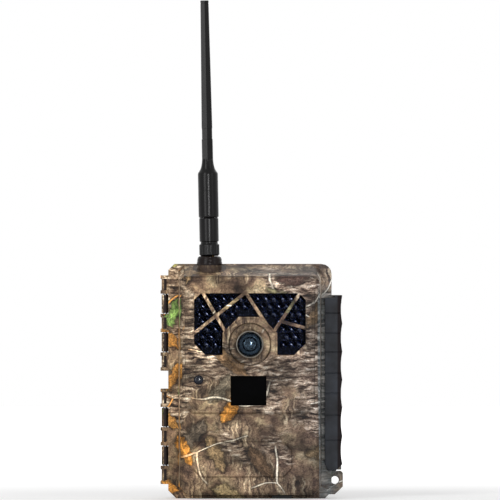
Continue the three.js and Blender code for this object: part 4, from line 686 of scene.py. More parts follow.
# Tripod insert. A knurled brass nut with a quarter-inch thread, pressed into the boss in the floor of
# the case. The thread is turned as rings 1.27 mm apart, twenty to the inch.
thread_pitch = 1.27
thread_outer = 3.17
thread_inner = 2.65
insert_low, insert_high = corners("tripod_insert")
insert_length = insert_high.z - insert_low.z
section = [(thread_outer, 0.0)]
for ring in range(int(insert_length / thread_pitch)):
    section += [(thread_inner, (ring + 0.5) * thread_pitch), (thread_outer, (ring + 1) * thread_pitch)]
section += [(thread_outer, insert_length), (3.8, insert_length), (4.0, insert_length - 0.2),
            (4.0, 0.2), (3.8, 0.0)]
brass = bright_metal("Brass, turned", "#9c7838", "#c6a05a", 0.3)
insert = turned("threaded_insert", section, 40, hollow=True, smooth=30)
settle(insert, (middle("tripod_insert").x, middle("tripod_insert").y, insert_low.z))
stands_for(insert, brass, "brass", "tripod_insert")

# Hinge and latch pins. Straight ground steel pins with chamfered ends, pushed into the knuckles.
# Handling leaves them satin, a little darker at the ends.
ground_steel = bright_metal("Stainless steel, ground", "#77787a", "#a3a4a6", 0.3)
for node in ("hinge_pin_lower", "hinge_pin_upper", "latch_pin"):
    low, high = corners(node)
    radius = (high.x - low.x) / 2
    length = high.z - low.z
    pin = turned(f"{node}_ground", [
        (radius - 0.35, 0), (radius, 0.35), (radius, length - 0.35), (radius - 0.35, length)], 32, smooth=35)
    settle(pin, (middle(node).x, middle(node).y, low.z))
    stands_for(pin, ground_steel, "steel", node)

# Latch lever. Glass-filled nylon, nearly black and finely grained. Its front plate hooks over the
# cover's rim, and cross grooves every 10 to 15 mm give the fingers a grip.
groove_heights = (36.3, 51.9, 65.6, 78.1, 91.3, 103.1, 115.6)
groove_width = 0.7
groove_depth = 0.45
tab_left = 51.8
tab_foot = 125.1
lever_shade_edge = 53.6
charcoal_nylon = moulded("Nylon, glass filled, charcoal", "#1c1d21", "#33373f", 0.4, 0.5, 0.04, 0.13)


def paint_shade_beyond(material, edge, shade, share, sheen, shaded_sheen):
    """Mixes so much of a shade into a moulded plastic to the right of an edge, and takes its sheen down
    there:
    painted shade along the outer side of a lever"""
    tree = material.node_tree
    shader = tree.nodes["Principled BSDF"]
    plain = shader.inputs["Base Color"].links[0].from_socket
    place = add(tree, "TexCoord", out="Object")
    x = add(tree, "SeparateXYZ", {0: place})
    beyond = add(tree, "MapRange", {0: x, 1: (edge - 0.3) * MM, 2: (edge + 0.3) * MM, 3: 0.0, 4: share})
    tone = add(tree, "Mix", {0: beyond, 6: plain, 7: shade}, out=2, data_type="RGBA")
    tree.links.new(tone, shader.inputs["Base Color"])
    level = add(tree, "MapRange", {0: beyond, 1: 0.0, 2: share, 3: sheen, 4: shaded_sheen})
    tree.links.new(level, shader.inputs["Specular IOR Level"])


def cut_with(piece, cutter, operation="DIFFERENCE"):
    """Cuts a piece with another one, joins the two or keeps what they share. The cutter is used up"""
    cut = piece.modifiers.new("cut", "BOOLEAN")
    cut.object = cutter
    cut.operation = operation
    cut.solver = "EXACT"
    apply_modifiers(piece)
    bpy.data.objects.remove(cutter)


# Painted shade: the right side of the lever is darkened and its sheen lowered
paint_shade_beyond(charcoal_nylon, lever_shade_edge, "#1b1010", 0.85, 0.13, 0.05)
lever = merged("latch_lever", "latch_grip")
lever_low, lever_high = corners("latch_lever")
cut_with(lever, add_block("above_plate", (lever_low.x - 1, lever_low.y - 1, tab_foot),
                          (tab_left, lever_high.y + 1, lever_high.z + 1)))
for height in groove_heights:
    cut_with(lever, add_block("groove", (lever_low.x - 1, lever_low.y - 1, height - groove_width / 2),
                              (lever_high.x + 1, lever_low.y + groove_depth, height + groove_width / 2)))
rounded(lever, 0.18, 2)
stands_for(lever, charcoal_nylon, "charcoal_plastic", "latch_lever")

# Front cover. The second half of the case, moulded and dipped like the first, with the brow over the
# infrared window, the collar of the lens, the ribs across the window and the bare name panel.
front_film = camouflage("ABS with camouflage film, front", 7.9, -27.5, 180.0)
name_plate_front = -28.27
name_plate_foot = 12.5
name_plate_top = 37.5
name_plate_left = -38
name_plate_right = 26.5
name_plate_rise = 0.6
front_cover = merged("front_cover", "cover_shell")
for vertex in front_cover.data.vertices:
    x, y, z = vertex.co / MM
    on_plate = name_plate_left < x < name_plate_right and name_plate_foot < z < name_plate_top
    if on_plate and abs(y - name_plate_front) < 0.05:
        vertex.co.y -= name_plate_rise * MM
rounded(front_cover, shell_edge, 2, shell_angle)
stands_for(front_cover, front_film, "camo_shell", "front_cover")

# Main board and modem. A glass-epoxy board behind the lens, with the modem under a soldered can of
# tinned steel. The panel covers them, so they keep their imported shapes.
tinned_steel = bright_metal("Tinned steel sheet", "#8f9294", "#b9bbbc", 0.34, 0.4)
main_board = nodes["main_board"]
main_board.data.materials.clear()
main_board.data.materials.append(green_board)
modem = refined("radio_module", "modem_can", 0.4)
stands_for(modem, tinned_steel, "steel", "radio_module")

# Card sockets and USB port. Folded tinned-steel shells soldered to the board behind the opening of the
# panel. The cards slide in from below.
for node in ("sd_socket", "sim_socket", "usb_port"):
    shell = refined(node, f"{node}_shell", 0.08, 1)
    stands_for(shell, tinned_steel, "steel", node)

# Memory card and subscriber card. Moulded cards with a plain recessed label face and a cut corner. The
# memory card has finger ridges at the end that stands out, and both have gilt contacts inside.
def card_plastic(name, body, label, label_low, label_high, ridge_pitch, contacts):
    """ABS, satin, with a plain paper label, moulded ridges and a row of gilt contacts"""
    material = new_material(name)
    tree = material.node_tree
    place = millimetres(tree)
    x, y, z = add(tree, "SeparateXYZ", {0: place}).node.outputs
    marks = add(tree, "TexNoise", {"Vector": place, "Scale": 0.8, "Detail": 4.0})
    plastic = add(tree, "ValToRGB", {0: marks}, stops=((0.35, body[0]), (0.65, body[1])))
    paper = add(tree, "ValToRGB", {0: marks}, stops=((0.3, label[0]), (0.7, label[1])))
    shown = 1.0
    for socket, low, high in ((x, label_low[0], label_high[0]), (z, label_low[1], label_high[1])):
        over = add(tree, "Math", {0: socket, 1: low}, operation="GREATER_THAN")
        under = add(tree, "Math", {0: socket, 1: high}, operation="LESS_THAN")
        over = add(tree, "Math", {0: over, 1: under}, operation="MULTIPLY")
        shown = add(tree, "Math", {0: over, 1: shown}, operation="MULTIPLY")
    tone = add(tree, "Mix", {0: shown, 6: plastic, 7: paper}, out=2, data_type="RGBA")
    inner = add(tree, "Math", {0: z, 1: contacts}, operation="GREATER_THAN")
    strips = add(tree, "Math", {0: x, 1: 2.5}, operation="FLOORED_MODULO")
    strips = add(tree, "Math", {0: strips, 1: 1.7}, operation="LESS_THAN")
    gilt = add(tree, "Math", {0: inner, 1: strips}, operation="MULTIPLY")
    tone = add(tree, "Mix", {0: gilt, 6: tone, 7: "#c9a255"}, out=2, data_type="RGBA")
    ridges = add(tree, "Math", {0: z, 1: 6.2832 / ridge_pitch}, operation="MULTIPLY")
    ridges = add(tree, "Math", {0: ridges}, operation="SINE")
    at_end = add(tree, "Math", {0: z, 1: label_low[1] - 0.6}, operation="LESS_THAN")
    ridges = add(tree, "Math", {0: ridges, 1: at_end}, operation="MULTIPLY")
    bump = add(tree, "Bump", {"Height": ridges, "Strength": 0.8, "Distance": 0.0003})
    rough = add(tree, "MapRange", {0: marks, 1: 0.3, 2: 0.7, 3: 0.38, 4: 0.5})
    shader = add(tree, "BsdfPrincipled", {
        "Base Color": tone, "Roughness": rough, "Metallic": gilt, "Normal": bump})
    return finish_material(material, shader)


memory_film = card_plastic("ABS, memory card", ("#17181b", "#232529"), ("#6d7f96", "#8596aa"),
                           (-31.4, 25.4), (-10.8, 47.0), 0.9, 48.0)
memory = refined("sd_card", "memory_card_body", 0.25)
stands_for(memory, memory_film, "card_plastic", "sd_card")
chip_film = card_plastic("PVC, subscriber card", ("#d8d9d6", "#e9e9e6"), ("#c9d2cc", "#dbe2dd"),
                         (-4.0, 35.6), (6.0, 41.0), 40.0, 44.0)
subscriber = refined("sim_card", "subscriber_card_body", 0.12)
stands_for(subscriber, chip_film, "card_plastic", "sim_card")

# Screen. A small colour display, switched off: a glass face over a black surround, in the opening of
# the control panel.
screen_margin = 3.5
display = refined("screen", "display", 0.3)
display_low, display_high = corners("screen")


def display_glass(name, low, high, margin):
    """Glass over a dark cell: black print round a faintly blue, mirror-smooth picture area"""
    material = new_material(name)
    tree = material.node_tree
    place = millimetres(tree)
    x, y, z = add(tree, "SeparateXYZ", {0: place}).node.outputs
    middle_x = (low.x + high.x) / 2
    middle_z = (low.z + high.z) / 2
    side = add(tree, "Math", {0: x, 1: middle_x, 2: (high.x - low.x) / 2 - margin}, operation="COMPARE")
    rise = add(tree, "Math", {0: z, 1: middle_z, 2: (high.z - low.z) / 2 - margin}, operation="COMPARE")
    lit = add(tree, "Math", {0: side, 1: rise}, operation="MULTIPLY")
    haze = add(tree, "TexNoise", {"Vector": place, "Scale": 0.08, "Detail": 3.0})
    panel = add(tree, "ValToRGB", {0: haze}, stops=((0.3, "#1c2430"), (0.7, "#2a3545")))
    tone = add(tree, "Mix", {0: lit, 6: "#0b0b0d", 7: panel}, out=2, data_type="RGBA")
    rough = add(tree, "MapRange", {0: haze, 1: 0.3, 2: 0.7, 3: 0.05, 4: 0.12})
    shader = add(tree, "BsdfPrincipled", {"Base Color": tone, "Roughness": rough, "IOR": 1.52})
    return finish_material(material, shader)


stands_for(display, display_glass("Display glass, off", display_low, display_high, screen_margin),
           "dark_clear_plastic", "screen")

# Control panel. A plate of dark grey ABS, finely spark-eroded, held to the cover by four screws. It
# closes the front half off and leaves openings for the screen, the keys, the switch and the cards.
grey_plastic = moulded("ABS, dark grey, spark eroded", "#3c3e42", "#494b50", 0.58, 0.4, 0.04)
panel = refined("control_panel", "panel_plate", 0.4)
stands_for(panel, grey_plastic, "grey_plastic", "control_panel")

# Keys. Five silicone-backed caps in the shape of a cross, each with a raised sign: four arrowheads and
# a ring for the middle key. A flange behind the panel keeps them in.
key_sign = 0.12


def lay_down(piece, node, head_to_front=True):
    """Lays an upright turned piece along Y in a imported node's box, with its head to the front or back"""
    low, high = corners(node)
    foot, turn = (high.y, 90) if head_to_front else (low.y, -90)
    return settle(piece, (middle(node).x, foot, middle(node).z), (turn, 0, 0))


key_plastic = moulded("Silicone, mid grey", "#8d9196", "#a2a6ab", 0.6, 0.35, 0.02)
sign_paint = moulded("Pad print, white", "#d9dad7", "#ecece8", 0.5, 0.3, 0.01)
for node, sides, turn in (("key_ok", 24, 0), ("key_up", 3, 180), ("key_down", 3, 0),
                          ("key_left", 3, 90), ("key_right", 3, -90)):
    low, high = corners(node)
    depth = high.y - low.y
    radius = (high.x - low.x) / 2
    cap = turned("cap", [(radius - 0.15, 0), (radius, 0.15), (radius, 0.85), (radius - 0.15, 1.0),
                         (radius - 1.1, 1.0), (radius - 1.1, depth - key_sign - 0.5),
                         (radius - 1.25, depth - key_sign - 0.15), (radius - 1.6, depth - key_sign),
                         (radius - 2.2, depth - key_sign - 0.05)], 40, smooth=40)
    cap.data.materials.append(key_plastic)
    if sides == 3:
        sign = turned("sign", [(1.25, depth - key_sign - 0.2), (1.25, depth - 0.04), (1.15, depth)], 3)
        settle(sign, (0, 0, 0), (0, 0, turn))
    else:
        sign = turned("sign", [(1.35, depth - key_sign - 0.2), (1.35, depth), (0.95, depth),
                               (0.95, depth - key_sign - 0.2)], sides, hollow=True)
    sign.data.materials.clear()
    sign.data.materials.append(sign_paint)
    key = joined(f"{node}_cap", [cap, sign])
    lay_down(key, node, head_to_front=False)
    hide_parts(node)
    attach(key, nodes[node]["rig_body"])

# Power switch. A moulded slide knob in the grey of the keys, with three grooves across its face for
# the fingertip. It moves on a base plate behind the panel.
knob_groove_half = 0.25
knob_groove_depth = 0.4
knob = merged("power_switch", "slide_knob")
knob_low, knob_high = corners("power_switch")
knob_middle = middle("power_switch")
for offset in (-1.4, 0.0, 1.4):
    x = knob_middle.x + offset
    cut_with(knob, add_block(
        "grip", (x - knob_groove_half, knob_high.y - knob_groove_depth, knob_low.z - 1),
        (x + knob_groove_half, knob_high.y + 1, knob_high.z + 1)))
rounded(knob, 0.1, 2)
stands_for(knob, key_plastic, "key_plastic", "power_switch")

# Panel screws. Zinc-plated steel with a cross recess in a low pan head. They cut their own thread in
# plastic bosses of the front cover.
recess_width = 0.8
recess_length = 2.9
recess_depth = 0.7
zinc = bright_metal("Zinc-plated steel", "#8d9094", "#b6b9bb", 0.3)
for number in range(1, 5):
    node = f"panel_screw_{number}"
    low, high = corners(node)
    length = high.y - low.y
    head = (high.x - low.x) / 2
    screw = turned("screw", [(0.5, 0), (1.2, 1.0), (1.2, length - 1.3), (head, length - 1.3),
                             (head, length - 0.55), (head - 0.35, length - 0.15), (head - 0.9, length),
                             (0.8, length)], 32)
    for size_x, size_y in ((recess_width, recess_length), (recess_length, recess_width)):
        cut_with(screw, add_block("recess", (-size_x / 2, -size_y / 2, length - recess_depth),
                                  (size_x / 2, size_y / 2, length + 1)))
    bpy.ops.object.shade_smooth_by_angle(angle=math.radians(35))
    lay_down(screw, node, head_to_front=False)
    stands_for(screw, zinc, "steel", node)
    screw.name = f"{node}_zinc"

# Lamp board. A black board with rows of five-millimetre infrared lamps behind the dark window. Each
# lamp is an epoxy dome on a flange, with its small bright reflector painted on as a highlight.
lamp_pitch = 5.25
lamp_row_pitch = 4.725
lamp_columns = 6
lamp_row_count = 9
lamp_top = 124.7
lamp_radius = 2.2
lamp_height = 8.6
lamp_board_thickness = 1.6
lens_hole_radius = 7.2
collar_reach = 19.8
window_foot = 89.7
window_foot_margin = 2.4
window_half = 32.4
window_corner = 7.2
black_board = circuit_board("Glass-epoxy board, black", "#050608", "#0a0b10", "#2a2c33", 2.6, 0.04)


def lamp_epoxy(name):
    """Clear epoxy over a reflector: smooth and wet-looking, dark and faintly blue. A pale ring and a bluish
    rim are painted highlights in the colour, and a white, mirror-like patch at one side of each dome is a
    painted highlight for the shine of the reflector. The colours follow the UV map of the circle that the
    lamp was drawn from, which tells the side of the lamp and not the distance from its middle."""
    material = new_material(name)
    tree = material.node_tree
    across = add(tree, "TexCoord", out="UV")
    reach = add(tree, "VectorMath", {0: across}, out=1, operation="LENGTH")
    # Painted highlights: the pale ring and the bluish rim in these stops
    tone = add(tree, "ValToRGB", {0: reach}, stops=(
        (0.1, "#39404f"), (0.16, "#aab6cb"), (0.22, "#1c2436"), (0.55, "#0c0f18"), (0.84, "#344464"),
        (0.97, "#07080c")))
    u, v, _ = add(tree, "SeparateXYZ", {0: across}).node.outputs
    lifted = add(tree, "Math", {0: u, 1: 0.5, 2: v}, operation="MULTIPLY_ADD")
    painted_glint_ring = add(tree, "Math", {0: reach, 1: 0.45, 2: 0.2}, operation="COMPARE")
    upper = add(tree, "MapRange", {0: lifted, 1: 0.08, 2: 0.2, 3: 0.0, 4: 1.0})
    place = add(tree, "TexCoord", out="Object")
    each = add(tree, "TexNoise", {"Vector": place, "Scale": 190.0, "Detail": 1.0})
    each = add(tree, "MapRange", {0: each, 1: 0.38, 2: 0.5, 3: 0.3, 4: 1.0})
    # Painted highlight: a white, mirror-like patch at one side of each dome
    painted_glint = add(tree, "Math", {0: painted_glint_ring, 1: upper}, operation="MULTIPLY")
    painted_glint = add(tree, "Math", {0: painted_glint, 1: each}, operation="MULTIPLY")
    tone = add(tree, "Mix", {0: painted_glint, 6: tone, 7: "#f4f7ff"}, out=2, data_type="RGBA")
    haze = add(tree, "TexNoise", {"Vector": place, "Scale": 900.0, "Detail": 2.0})
    rough = add(tree, "MapRange", {0: haze, 3: 0.05, 4: 0.12})
    shader = add(tree, "BsdfPrincipled", {
        "Base Color": tone, "Roughness": rough, "Metallic": painted_glint, "IOR": 1.55,
        "Specular IOR Level": 0.16})
    return finish_material(material, shader)


clear_epoxy = lamp_epoxy("Epoxy lamp, clear")
board_low, board_high = corners("led_board")
lamp_board = add_block("lamp_board", (board_low.x, board_high.y - lamp_board_thickness, board_low.z),
                       (board_high.x, board_high.y, board_high.z))
hole = turned("hole", [(lens_hole_radius, -30.0), (lens_hole_radius, 30.0)], 48)
settle(hole, (lens_axis[0], board_high.y, lens_axis[1]), (90, 0, 0))
cut_with(lamp_board, hole)
stands_for(lamp_board, black_board, "black_plastic", "led_board")
lamp = turned("lamp", [
    (lamp_radius + 0.25, 0), (lamp_radius + 0.25, 0.9), (lamp_radius, 1.0), (lamp_radius, 6.4),
    (2.04, 7.2), (1.6, 7.95), (0.9, 8.4), (0.2, lamp_height)], 14, smooth=50)
lamps = []
board_front = board_high.y - lamp_board_thickness
for row in range(lamp_row_count):
    z = lamp_top - row * lamp_row_pitch
    for column in range(-lamp_columns, lamp_columns + 1):
        x = (column + (0.5 if row % 2 else 0.0)) * lamp_pitch
        past_side = abs(x) + max(window_foot + window_corner - z, 0) > window_half
        under_collar = math.hypot(x, z - lens_axis[1]) < collar_reach
        if past_side or under_collar or z < window_foot + window_foot_margin:
            continue
        lamps.append(placed_copy(lamp, "lamp", (x + lens_axis[0], board_front, z), (90, 0, 0)))
bpy.data.objects.remove(lamp)
lamp_rows = joined("lamp_rows", lamps)
lamp_rows.data.materials.clear()
lamp_rows.data.materials.append(clear_epoxy)
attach(lamp_rows, "cover")

# Lens. A black barrel with stepped light traps, a coated front element and, behind them, the holder
# with the infrared-cut filter on its slide. A thin pale ring shows round the barrel's mouth.
def lens_glass(name, tint, reflection, roughness, index=1.52):
    """Coated optical glass: lets the dark inside show, with a faint coloured mirror of the lights"""
    material = new_material(name)
    tree = material.node_tree
    place = add(tree, "TexCoord", out="Object")
    haze = add(tree, "TexNoise", {"Vector": place, "Scale": 250.0, "Detail": 2.0})
    rough = add(tree, "MapRange", {0: haze, 3: roughness, 4: roughness + 0.04})
    share = add(tree, "Fresnel", {"IOR": index})
    clear = add(tree, "BsdfTransparent", {"Color": tint})
    mirror = add(tree, "BsdfGlossy", {"Color": reflection, "Roughness": rough})
    shader = add(tree, "MixShader", {0: share, 1: clear, 2: mirror})
    return finish_material(material, shader)


barrel_low, barrel_high = corners("lens_barrel")
barrel_length = barrel_high.y - barrel_low.y
barrel = turned("barrel", [
    (6.5, 0), (6.5, barrel_length - 0.3), (6.2, barrel_length), (5.9, barrel_length),
    (5.75, barrel_length - 0.35), (5.3, barrel_length - 0.35), (5.2, barrel_length - 0.75),
    (4.9, barrel_length - 0.75), (4.75, barrel_length - 1.0), (4.7, barrel_length - 2.6),
    (4.0, barrel_length - 2.8), (3.9, barrel_length - 4.4), (3.4, barrel_length - 4.6),
    (3.3, barrel_length - 7.0), (2.7, barrel_length - 7.2), (2.6, 0)], 64, hollow=True, smooth=30)
lay_down(barrel, "lens_barrel")
anodised = moulded("Aluminium, black anodised", "#1c252f", "#313d49", 0.3, 0.2, 0.005)
stands_for(barrel, anodised, "black_plastic", "lens_barrel")
element_low, element_high = corners("lens_element")
element_depth = element_high.y - element_low.y
element = turned("element", [
    (4.3, 0), (4.6, 0.2), (4.6, element_depth - 0.9), (4.2, element_depth - 0.66),
    (3.6, element_depth - 0.42), (2.8, element_depth - 0.22), (1.8, element_depth - 0.08),
    (0.9, element_depth - 0.02), (0.2, element_depth)], 64, smooth=30)
lay_down(element, "lens_element")
blue_glass = lens_glass("Glass, coated, blue", "#424f5f", "#eef2f8", 0.05, 2.1)
stands_for(element, blue_glass, "glass", "lens_element")
holder = refined("lens_holder", "holder_body", 0.3)
stands_for(holder, black_plastic, "black_plastic", "lens_holder")
slide = refined("infrared_cut_filter", "filter_plate", 0.1)
filter_glass = lens_glass("Glass, infrared cut", "#5c8d86", "#ff9f9f", 0.03)
stands_for(slide, filter_glass, "glass", "infrared_cut_filter")

# Lens bezel and cover glass. The bezel is a dipped ABS ring pushed into the collar of the cover, and
# holds the flat glass against its shelf.
bezel = refined("lens_bezel", "bezel_ring", 0.4)
stands_for(bezel, front_film, "camo_shell", "lens_bezel")
glass_low, glass_high = corners("lens_glass")
glass_depth = glass_high.y - glass_low.y
cover_glass = turned("cover_glass", [
    (7.9, 0), (8.1, 0.2), (8.1, glass_depth - 0.3), (7.8, glass_depth)], 64, smooth=30)
lay_down(cover_glass, "lens_glass")
float_glass = lens_glass("Float glass, coated", "#dfe8ee", "#465060", 0.01)
stands_for(cover_glass, float_glass, "glass", "lens_glass")

# Retaining ring. A thin aluminium ring, turned and left satin, pressed in over the rim of the cover
# glass. It trims the joint between the glass and the bezel.
ring_metal = bright_metal("Aluminium, satin", "#5f5a53", "#8a857c", 0.42)
ring_seat = 0.02
ring = turned("retaining_ring", [
    (7.85, 0), (8.3, 0), (8.45, 0.1), (8.45, 0.3), (8.3, 0.42), (8.05, 0.42),
    (7.85, 0.2)], 64, hollow=True, smooth=40)
settle(ring, (middle("lens_glass").x, glass_low.y + ring_seat, middle("lens_glass").z), (90, 0, 0))
ring.data.materials.append(ring_metal)
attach(ring, "cover")

# Infrared window. Polycarbonate dyed so deep that it is nearly black to the eye and clear to the
# lamps, glued in behind the face.
window_pane = refined("infrared_window", "window_pane", 0.2)
stands_for(window_pane, lens_glass("Polycarbonate, infrared pass", "#eef1fa", "#1c2036", 0.03),
           "dark_clear_plastic", "infrared_window")

# Motion sensor. A flat black polyethylene lens, moulded with fine rings on its inner side, snapped into
# its square frame over a small metal can on the board.
pir_plastic = moulded("Polyethylene, black", "#030303", "#060607", 0.6, 0.5, 0.01, 0.015)
motion_lens = refined("pir_lens", "motion_lens", 0.3)
stands_for(motion_lens, pir_plastic, "black_plastic", "pir_lens")
can = refined("pir_sensor", "sensor_can", 0.15)
stands_for(can, tinned_steel, "steel", "pir_sensor")

# Light sensor. A domed plug of smoked acrylic, pushed through the face from inside up to its flange.
# It lets the light through to the sensor behind it.
eye_low, eye_high = corners("light_sensor")
eye_depth = eye_high.y - eye_low.y
eye = turned("eye", [
    (3.65, 0), (3.8, 0.15), (3.8, 0.85), (3.65, 1.0), (2.7, 1.0), (2.7, eye_depth - 0.8),
    (2.55, eye_depth - 0.5), (2.2, eye_depth - 0.27), (1.6, eye_depth - 0.1),
    (0.8, eye_depth)], 40, smooth=40)
lay_down(eye, "light_sensor")


def smoked_acrylic(name):
    """Smoked acrylic, polished: nearly black, with a blue cast and sharp lights"""
    material = new_material(name)
    tree = material.node_tree
    place = add(tree, "TexCoord", out="Object")
    haze = add(tree, "TexNoise", {"Vector": place, "Scale": 400.0, "Detail": 3.0})
    tone = add(tree, "ValToRGB", {0: haze}, stops=((0.3, "#070a12"), (0.7, "#10172a")))
    rough = add(tree, "MapRange", {0: haze, 3: 0.06, 4: 0.14})
    shader = add(tree, "BsdfPrincipled", {
        "Base Color": tone, "Roughness": rough, "IOR": 1.49, "Specular IOR Level": 0.3})
    return finish_material(material, shader)


stands_for(eye, smoked_acrylic("Acrylic, smoked"), "dark_clear_plastic", "light_sensor")

# Power inlet. A round low-voltage socket with a centre pin in the floor of the cover, closed by a
# rubber plug on a hinged tab.
inlet = refined("power_inlet", "inlet_body", 0.2)
stands_for(inlet, black_plastic, "black_plastic", "power_inlet")
plug = refined("inlet_plug", "plug_cap", 0.35)
stands_for(plug, black_rubber, "black_rubber", "inlet_plug")

# Antenna connector. A turned brass socket, held in the boss on the lid. The antenna's nut screws onto
# its upper end.
connector = refined("antenna_connector", "connector_body", 0.15)
stands_for(connector, brass, "brass", "antenna_connector")

# Seal ring of the antenna. Dark brown rubber pressed over the boss on the lid, with a flared foot and a
# rounded brow, so that rain runs off beside the connector.
seal_rubber = moulded("Rubber, dark brown", "#110908", "#1d100b", 0.26, 1.5, 0.01, 0.14, 8.0)
boss_top = 151.1
seal = turned("antenna_seal", [
    (4.4, boss_top - 0.6), (7.2, boss_top - 0.6), (7.4, 145.5), (7.75, 145.5), (7.9, 146.6), (7.8, 147.4),
    (7.6, 147.9), (7.65, 148.4), (7.55, 149.3), (7.2, 150.2), (6.6, 150.85), (5.9, boss_top + 0.06),
    (4.4, boss_top + 0.06)], 64, hollow=True, smooth=40)
settle(seal, (*antenna_axis, 0))
seal.data.materials.append(seal_rubber)
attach(seal, "cover")

# Antenna. A nut and lower barrel that turn on the connector, and a flattened whip that folds on a steel
# pin through its knuckle, all in black thermoplastic rubber with a satin skin.
antenna_plastic = moulded("Thermoplastic rubber, black", "#060506", "#0c0b0c", 0.24, 0.35, 0.002, 0.17)
antenna_place = (*antenna_axis, boss_top)
antenna_lean = (0, -1.13, 0)
knuckle_height = 17.9
knuckle_top = 23.86
tongue_half = 2.5
tongue_radius = 4.4
fork_half = 2.6
fork_front = -4.8
fork_floor = 12.8
nut_low = 0.9
nut_high = 7.4
nut_sides = 48
blade_low = 56.0
blade_high = 159.45
foot = turned("antenna_foot", [
    (3.5, 5.8), (3.5, 0.12), (5.4, 0.12), (5.7, 0.6), (6.0, 0.75), (6.3, nut_low + 0.3),
    (6.3, nut_high - 0.6), (6.05, nut_high), (5.5, nut_high + 0.25), (5.35, 8.4), (5.35, 9.0),
    (5.75, 9.2), (6.0, 9.5), (6.0, knuckle_top - 0.7), (5.85, knuckle_top - 0.25), (5.5, knuckle_top),
    (3.0, knuckle_top)], nut_sides)
for vertex in foot.data.vertices:
    reach = math.hypot(vertex.co.x, vertex.co.y) / MM
    place = round(math.atan2(vertex.co.y, vertex.co.x) / (2 * math.pi) * nut_sides)
    if nut_low < vertex.co.z / MM < nut_high - 0.3 and place % 2 and reach > 6.2:
        vertex.co.x *= 0.94
        vertex.co.y *= 0.94
cut_with(foot, add_block("slot", (-fork_half, fork_front, fork_floor), (fork_half, 8, 30)))
ears = turned("ears", [(5.9, -7), (5.9, 7)], 48)
settle(ears, (0, 0, knuckle_height), (0, 90, 0))
cut_with(ears, turned("shank", [(7, -1), (7, knuckle_height)], 24), "UNION")
cut_with(ears, add_block("front", (-7, -7, knuckle_height - 0.5), (7, 0, knuckle_top + 1)), "UNION")
cut_with(foot, ears, "INTERSECT")
rounded(foot, 0.12, 1, 50)
settle(foot, antenna_place, antenna_lean)
stands_for(foot, antenna_plastic, "black_plastic", "antenna_base")

pin = refined("antenna_knuckle_pin", "knuckle_pin", 0.2)
stands_for(pin, ground_steel, "steel", "antenna_knuckle_pin")

sleeve = turned("antenna_sleeve", [
    (5.3, 23.95), (5.55, 23.95), (5.95, 24.2), (6.2, 24.7), (6.25, 25.2), (6.25, 40.6), (6.18, 40.75),
    (6.18, 40.95), (6.25, 41.1), (6.25, 51.2), (6.15, 51.75), (5.9, 52.25), (5.3, 53.1), (4.7, 54.1),
    (4.25, 55.2), (3.9, 56.6), (3.6, 58.6), (3.45, 60.6)], 48)
tongue = turned("tongue", [(tongue_radius, -tongue_half), (tongue_radius, tongue_half)], 40)
settle(tongue, (0, 0, knuckle_height), (0, 90, 0))
neck = add_block("neck", (-tongue_half, -4.0, knuckle_height), (tongue_half, 4.0, 24.2))
cut_with(tongue, neck, "UNION")
cut_with(sleeve, tongue, "UNION")
rounded(sleeve, 0.1, 1, 50)
blade = turned("antenna_blade", [(3.45, blade_low), (3.45, 72.9), (3.2, 73.0), (3.2, 79.6), (3.36, 79.7),
                                 (2.55, 157.4), (2.4, 157.5), (2.4, 157.9), (2.6, 158.0),
                                 (2.6, blade_high - 0.25), (2.4, blade_high)], 20)
for vertex in blade.data.vertices:
    reach = math.hypot(vertex.co.x, vertex.co.y)
    if abs(vertex.co.y) > 0.1 * reach:
        slope = 0.34 * (reach - abs(vertex.co.x)) + 0.28 * reach
        vertex.co.y = math.copysign(slope, vertex.co.y)
settle(blade, (0, 0, 0))
bpy.ops.object.shade_smooth_by_angle(angle=math.radians(22))
sleeve = joined("antenna_upper_part", [sleeve, blade])
settle(sleeve, antenna_place, antenna_lean)
stands_for(sleeve, antenna_plastic, "black_plastic", "antenna_whip")

# Floor, lights and camera. The object stands on a plain white floor in soft studio light, seen from
# straight ahead through a long lens at the middle of its height.
lens_length = 600.0
sensor_width = 36.0
field_width = 312.5 * MM
view_centre = Vector((-1.0 * MM, 1.0 * MM, 155.0 * MM))

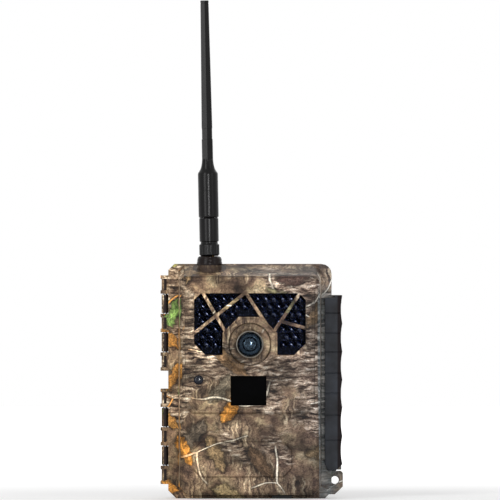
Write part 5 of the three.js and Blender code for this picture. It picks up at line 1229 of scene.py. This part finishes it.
bpy.ops.mesh.primitive_plane_add(size=6.0, location=(0, 0, 0))
floor = bpy.context.object
floor.name = "floor"
paper = new_material("White paper backdrop")
tree = paper.node_tree
fibre = add(tree, "TexNoise", {"Scale": 400.0})
away = add(tree, "TexCoord", out="Object")
away = add(tree, "VectorMath", {0: away}, out=1, operation="LENGTH")
away = add(tree, "MapRange", {0: away, 1: 0.15, 2: 0.9, 3: 0.3, 4: 0.95})
rough = add(tree, "MapRange", {0: fibre, 3: 0.85, 4: 0.95})
sheet = add(tree, "BsdfPrincipled", {"Base Color": "#f2f2f2", "Roughness": rough})
glow = add(tree, "Emission", {"Color": "#ffffff", "Strength": away})
rays = add(tree, "LightPath").node.outputs
seen = add(tree, "Math", {0: rays["Is Camera Ray"], 1: rays["Is Glossy Ray"]}, operation="MAXIMUM")
lit = add(tree, "AddShader", {0: sheet, 1: glow})
sheet = add(tree, "MixShader", {0: seen, 1: sheet, 2: lit})
finish_material(paper, sheet)
floor.data.materials.append(paper)

world = bpy.data.worlds.new("studio")
bpy.context.scene.world = world
world.use_nodes = True
world.node_tree.nodes.clear()
rays = add(world.node_tree, "LightPath").node.outputs
seen = add(world.node_tree, "Math", {0: rays["Is Camera Ray"], 1: rays["Is Glossy Ray"]}, operation="MAXIMUM")
seen = add(world.node_tree, "Math", {0: seen, 1: rays["Is Transmission Ray"]}, operation="MAXIMUM")
strength = add(world.node_tree, "MapRange", {0: seen, 3: 0.3, 4: 1.0})
sky = add(world.node_tree, "Background", {"Color": "#ffffff", "Strength": strength})
add(world.node_tree, "OutputWorld", {"Surface": sky})

for name, place, width, height, power in (
        ("key_light", (-1.0, -1.3, 1.0), 0.55, 1.9, 14.5),
        ("fill_light", (1.3, -1.1, 0.9), 0.6, 1.4, 3.5),
        ("front_light", (0.28, -3.0, 0.32), 0.3, 0.5, 18.0),
        ("rim_light", (0.3, 1.3, 1.0), 1.2, 0.8, 6.0)):
    bpy.ops.object.light_add(type="AREA", location=place)
    softbox = bpy.context.object
    softbox.name = name
    softbox.data.shape = "RECTANGLE"
    softbox.data.size = width
    softbox.data.size_y = height
    softbox.data.energy = power
    level_aim = Vector((view_centre.x, view_centre.y, place[2]))
    softbox.rotation_euler = (level_aim - Vector(place)).to_track_quat("-Z", "Y").to_euler()

distance = field_width * lens_length / sensor_width
bpy.ops.object.camera_add(
    location=(view_centre.x, view_centre.y - distance, view_centre.z), rotation=(math.pi / 2, 0, 0))
camera = bpy.context.object
camera.data.lens = lens_length
camera.data.sensor_width = sensor_width
bpy.context.scene.camera = camera
bpy.context.scene.view_settings.view_transform = "Standard"
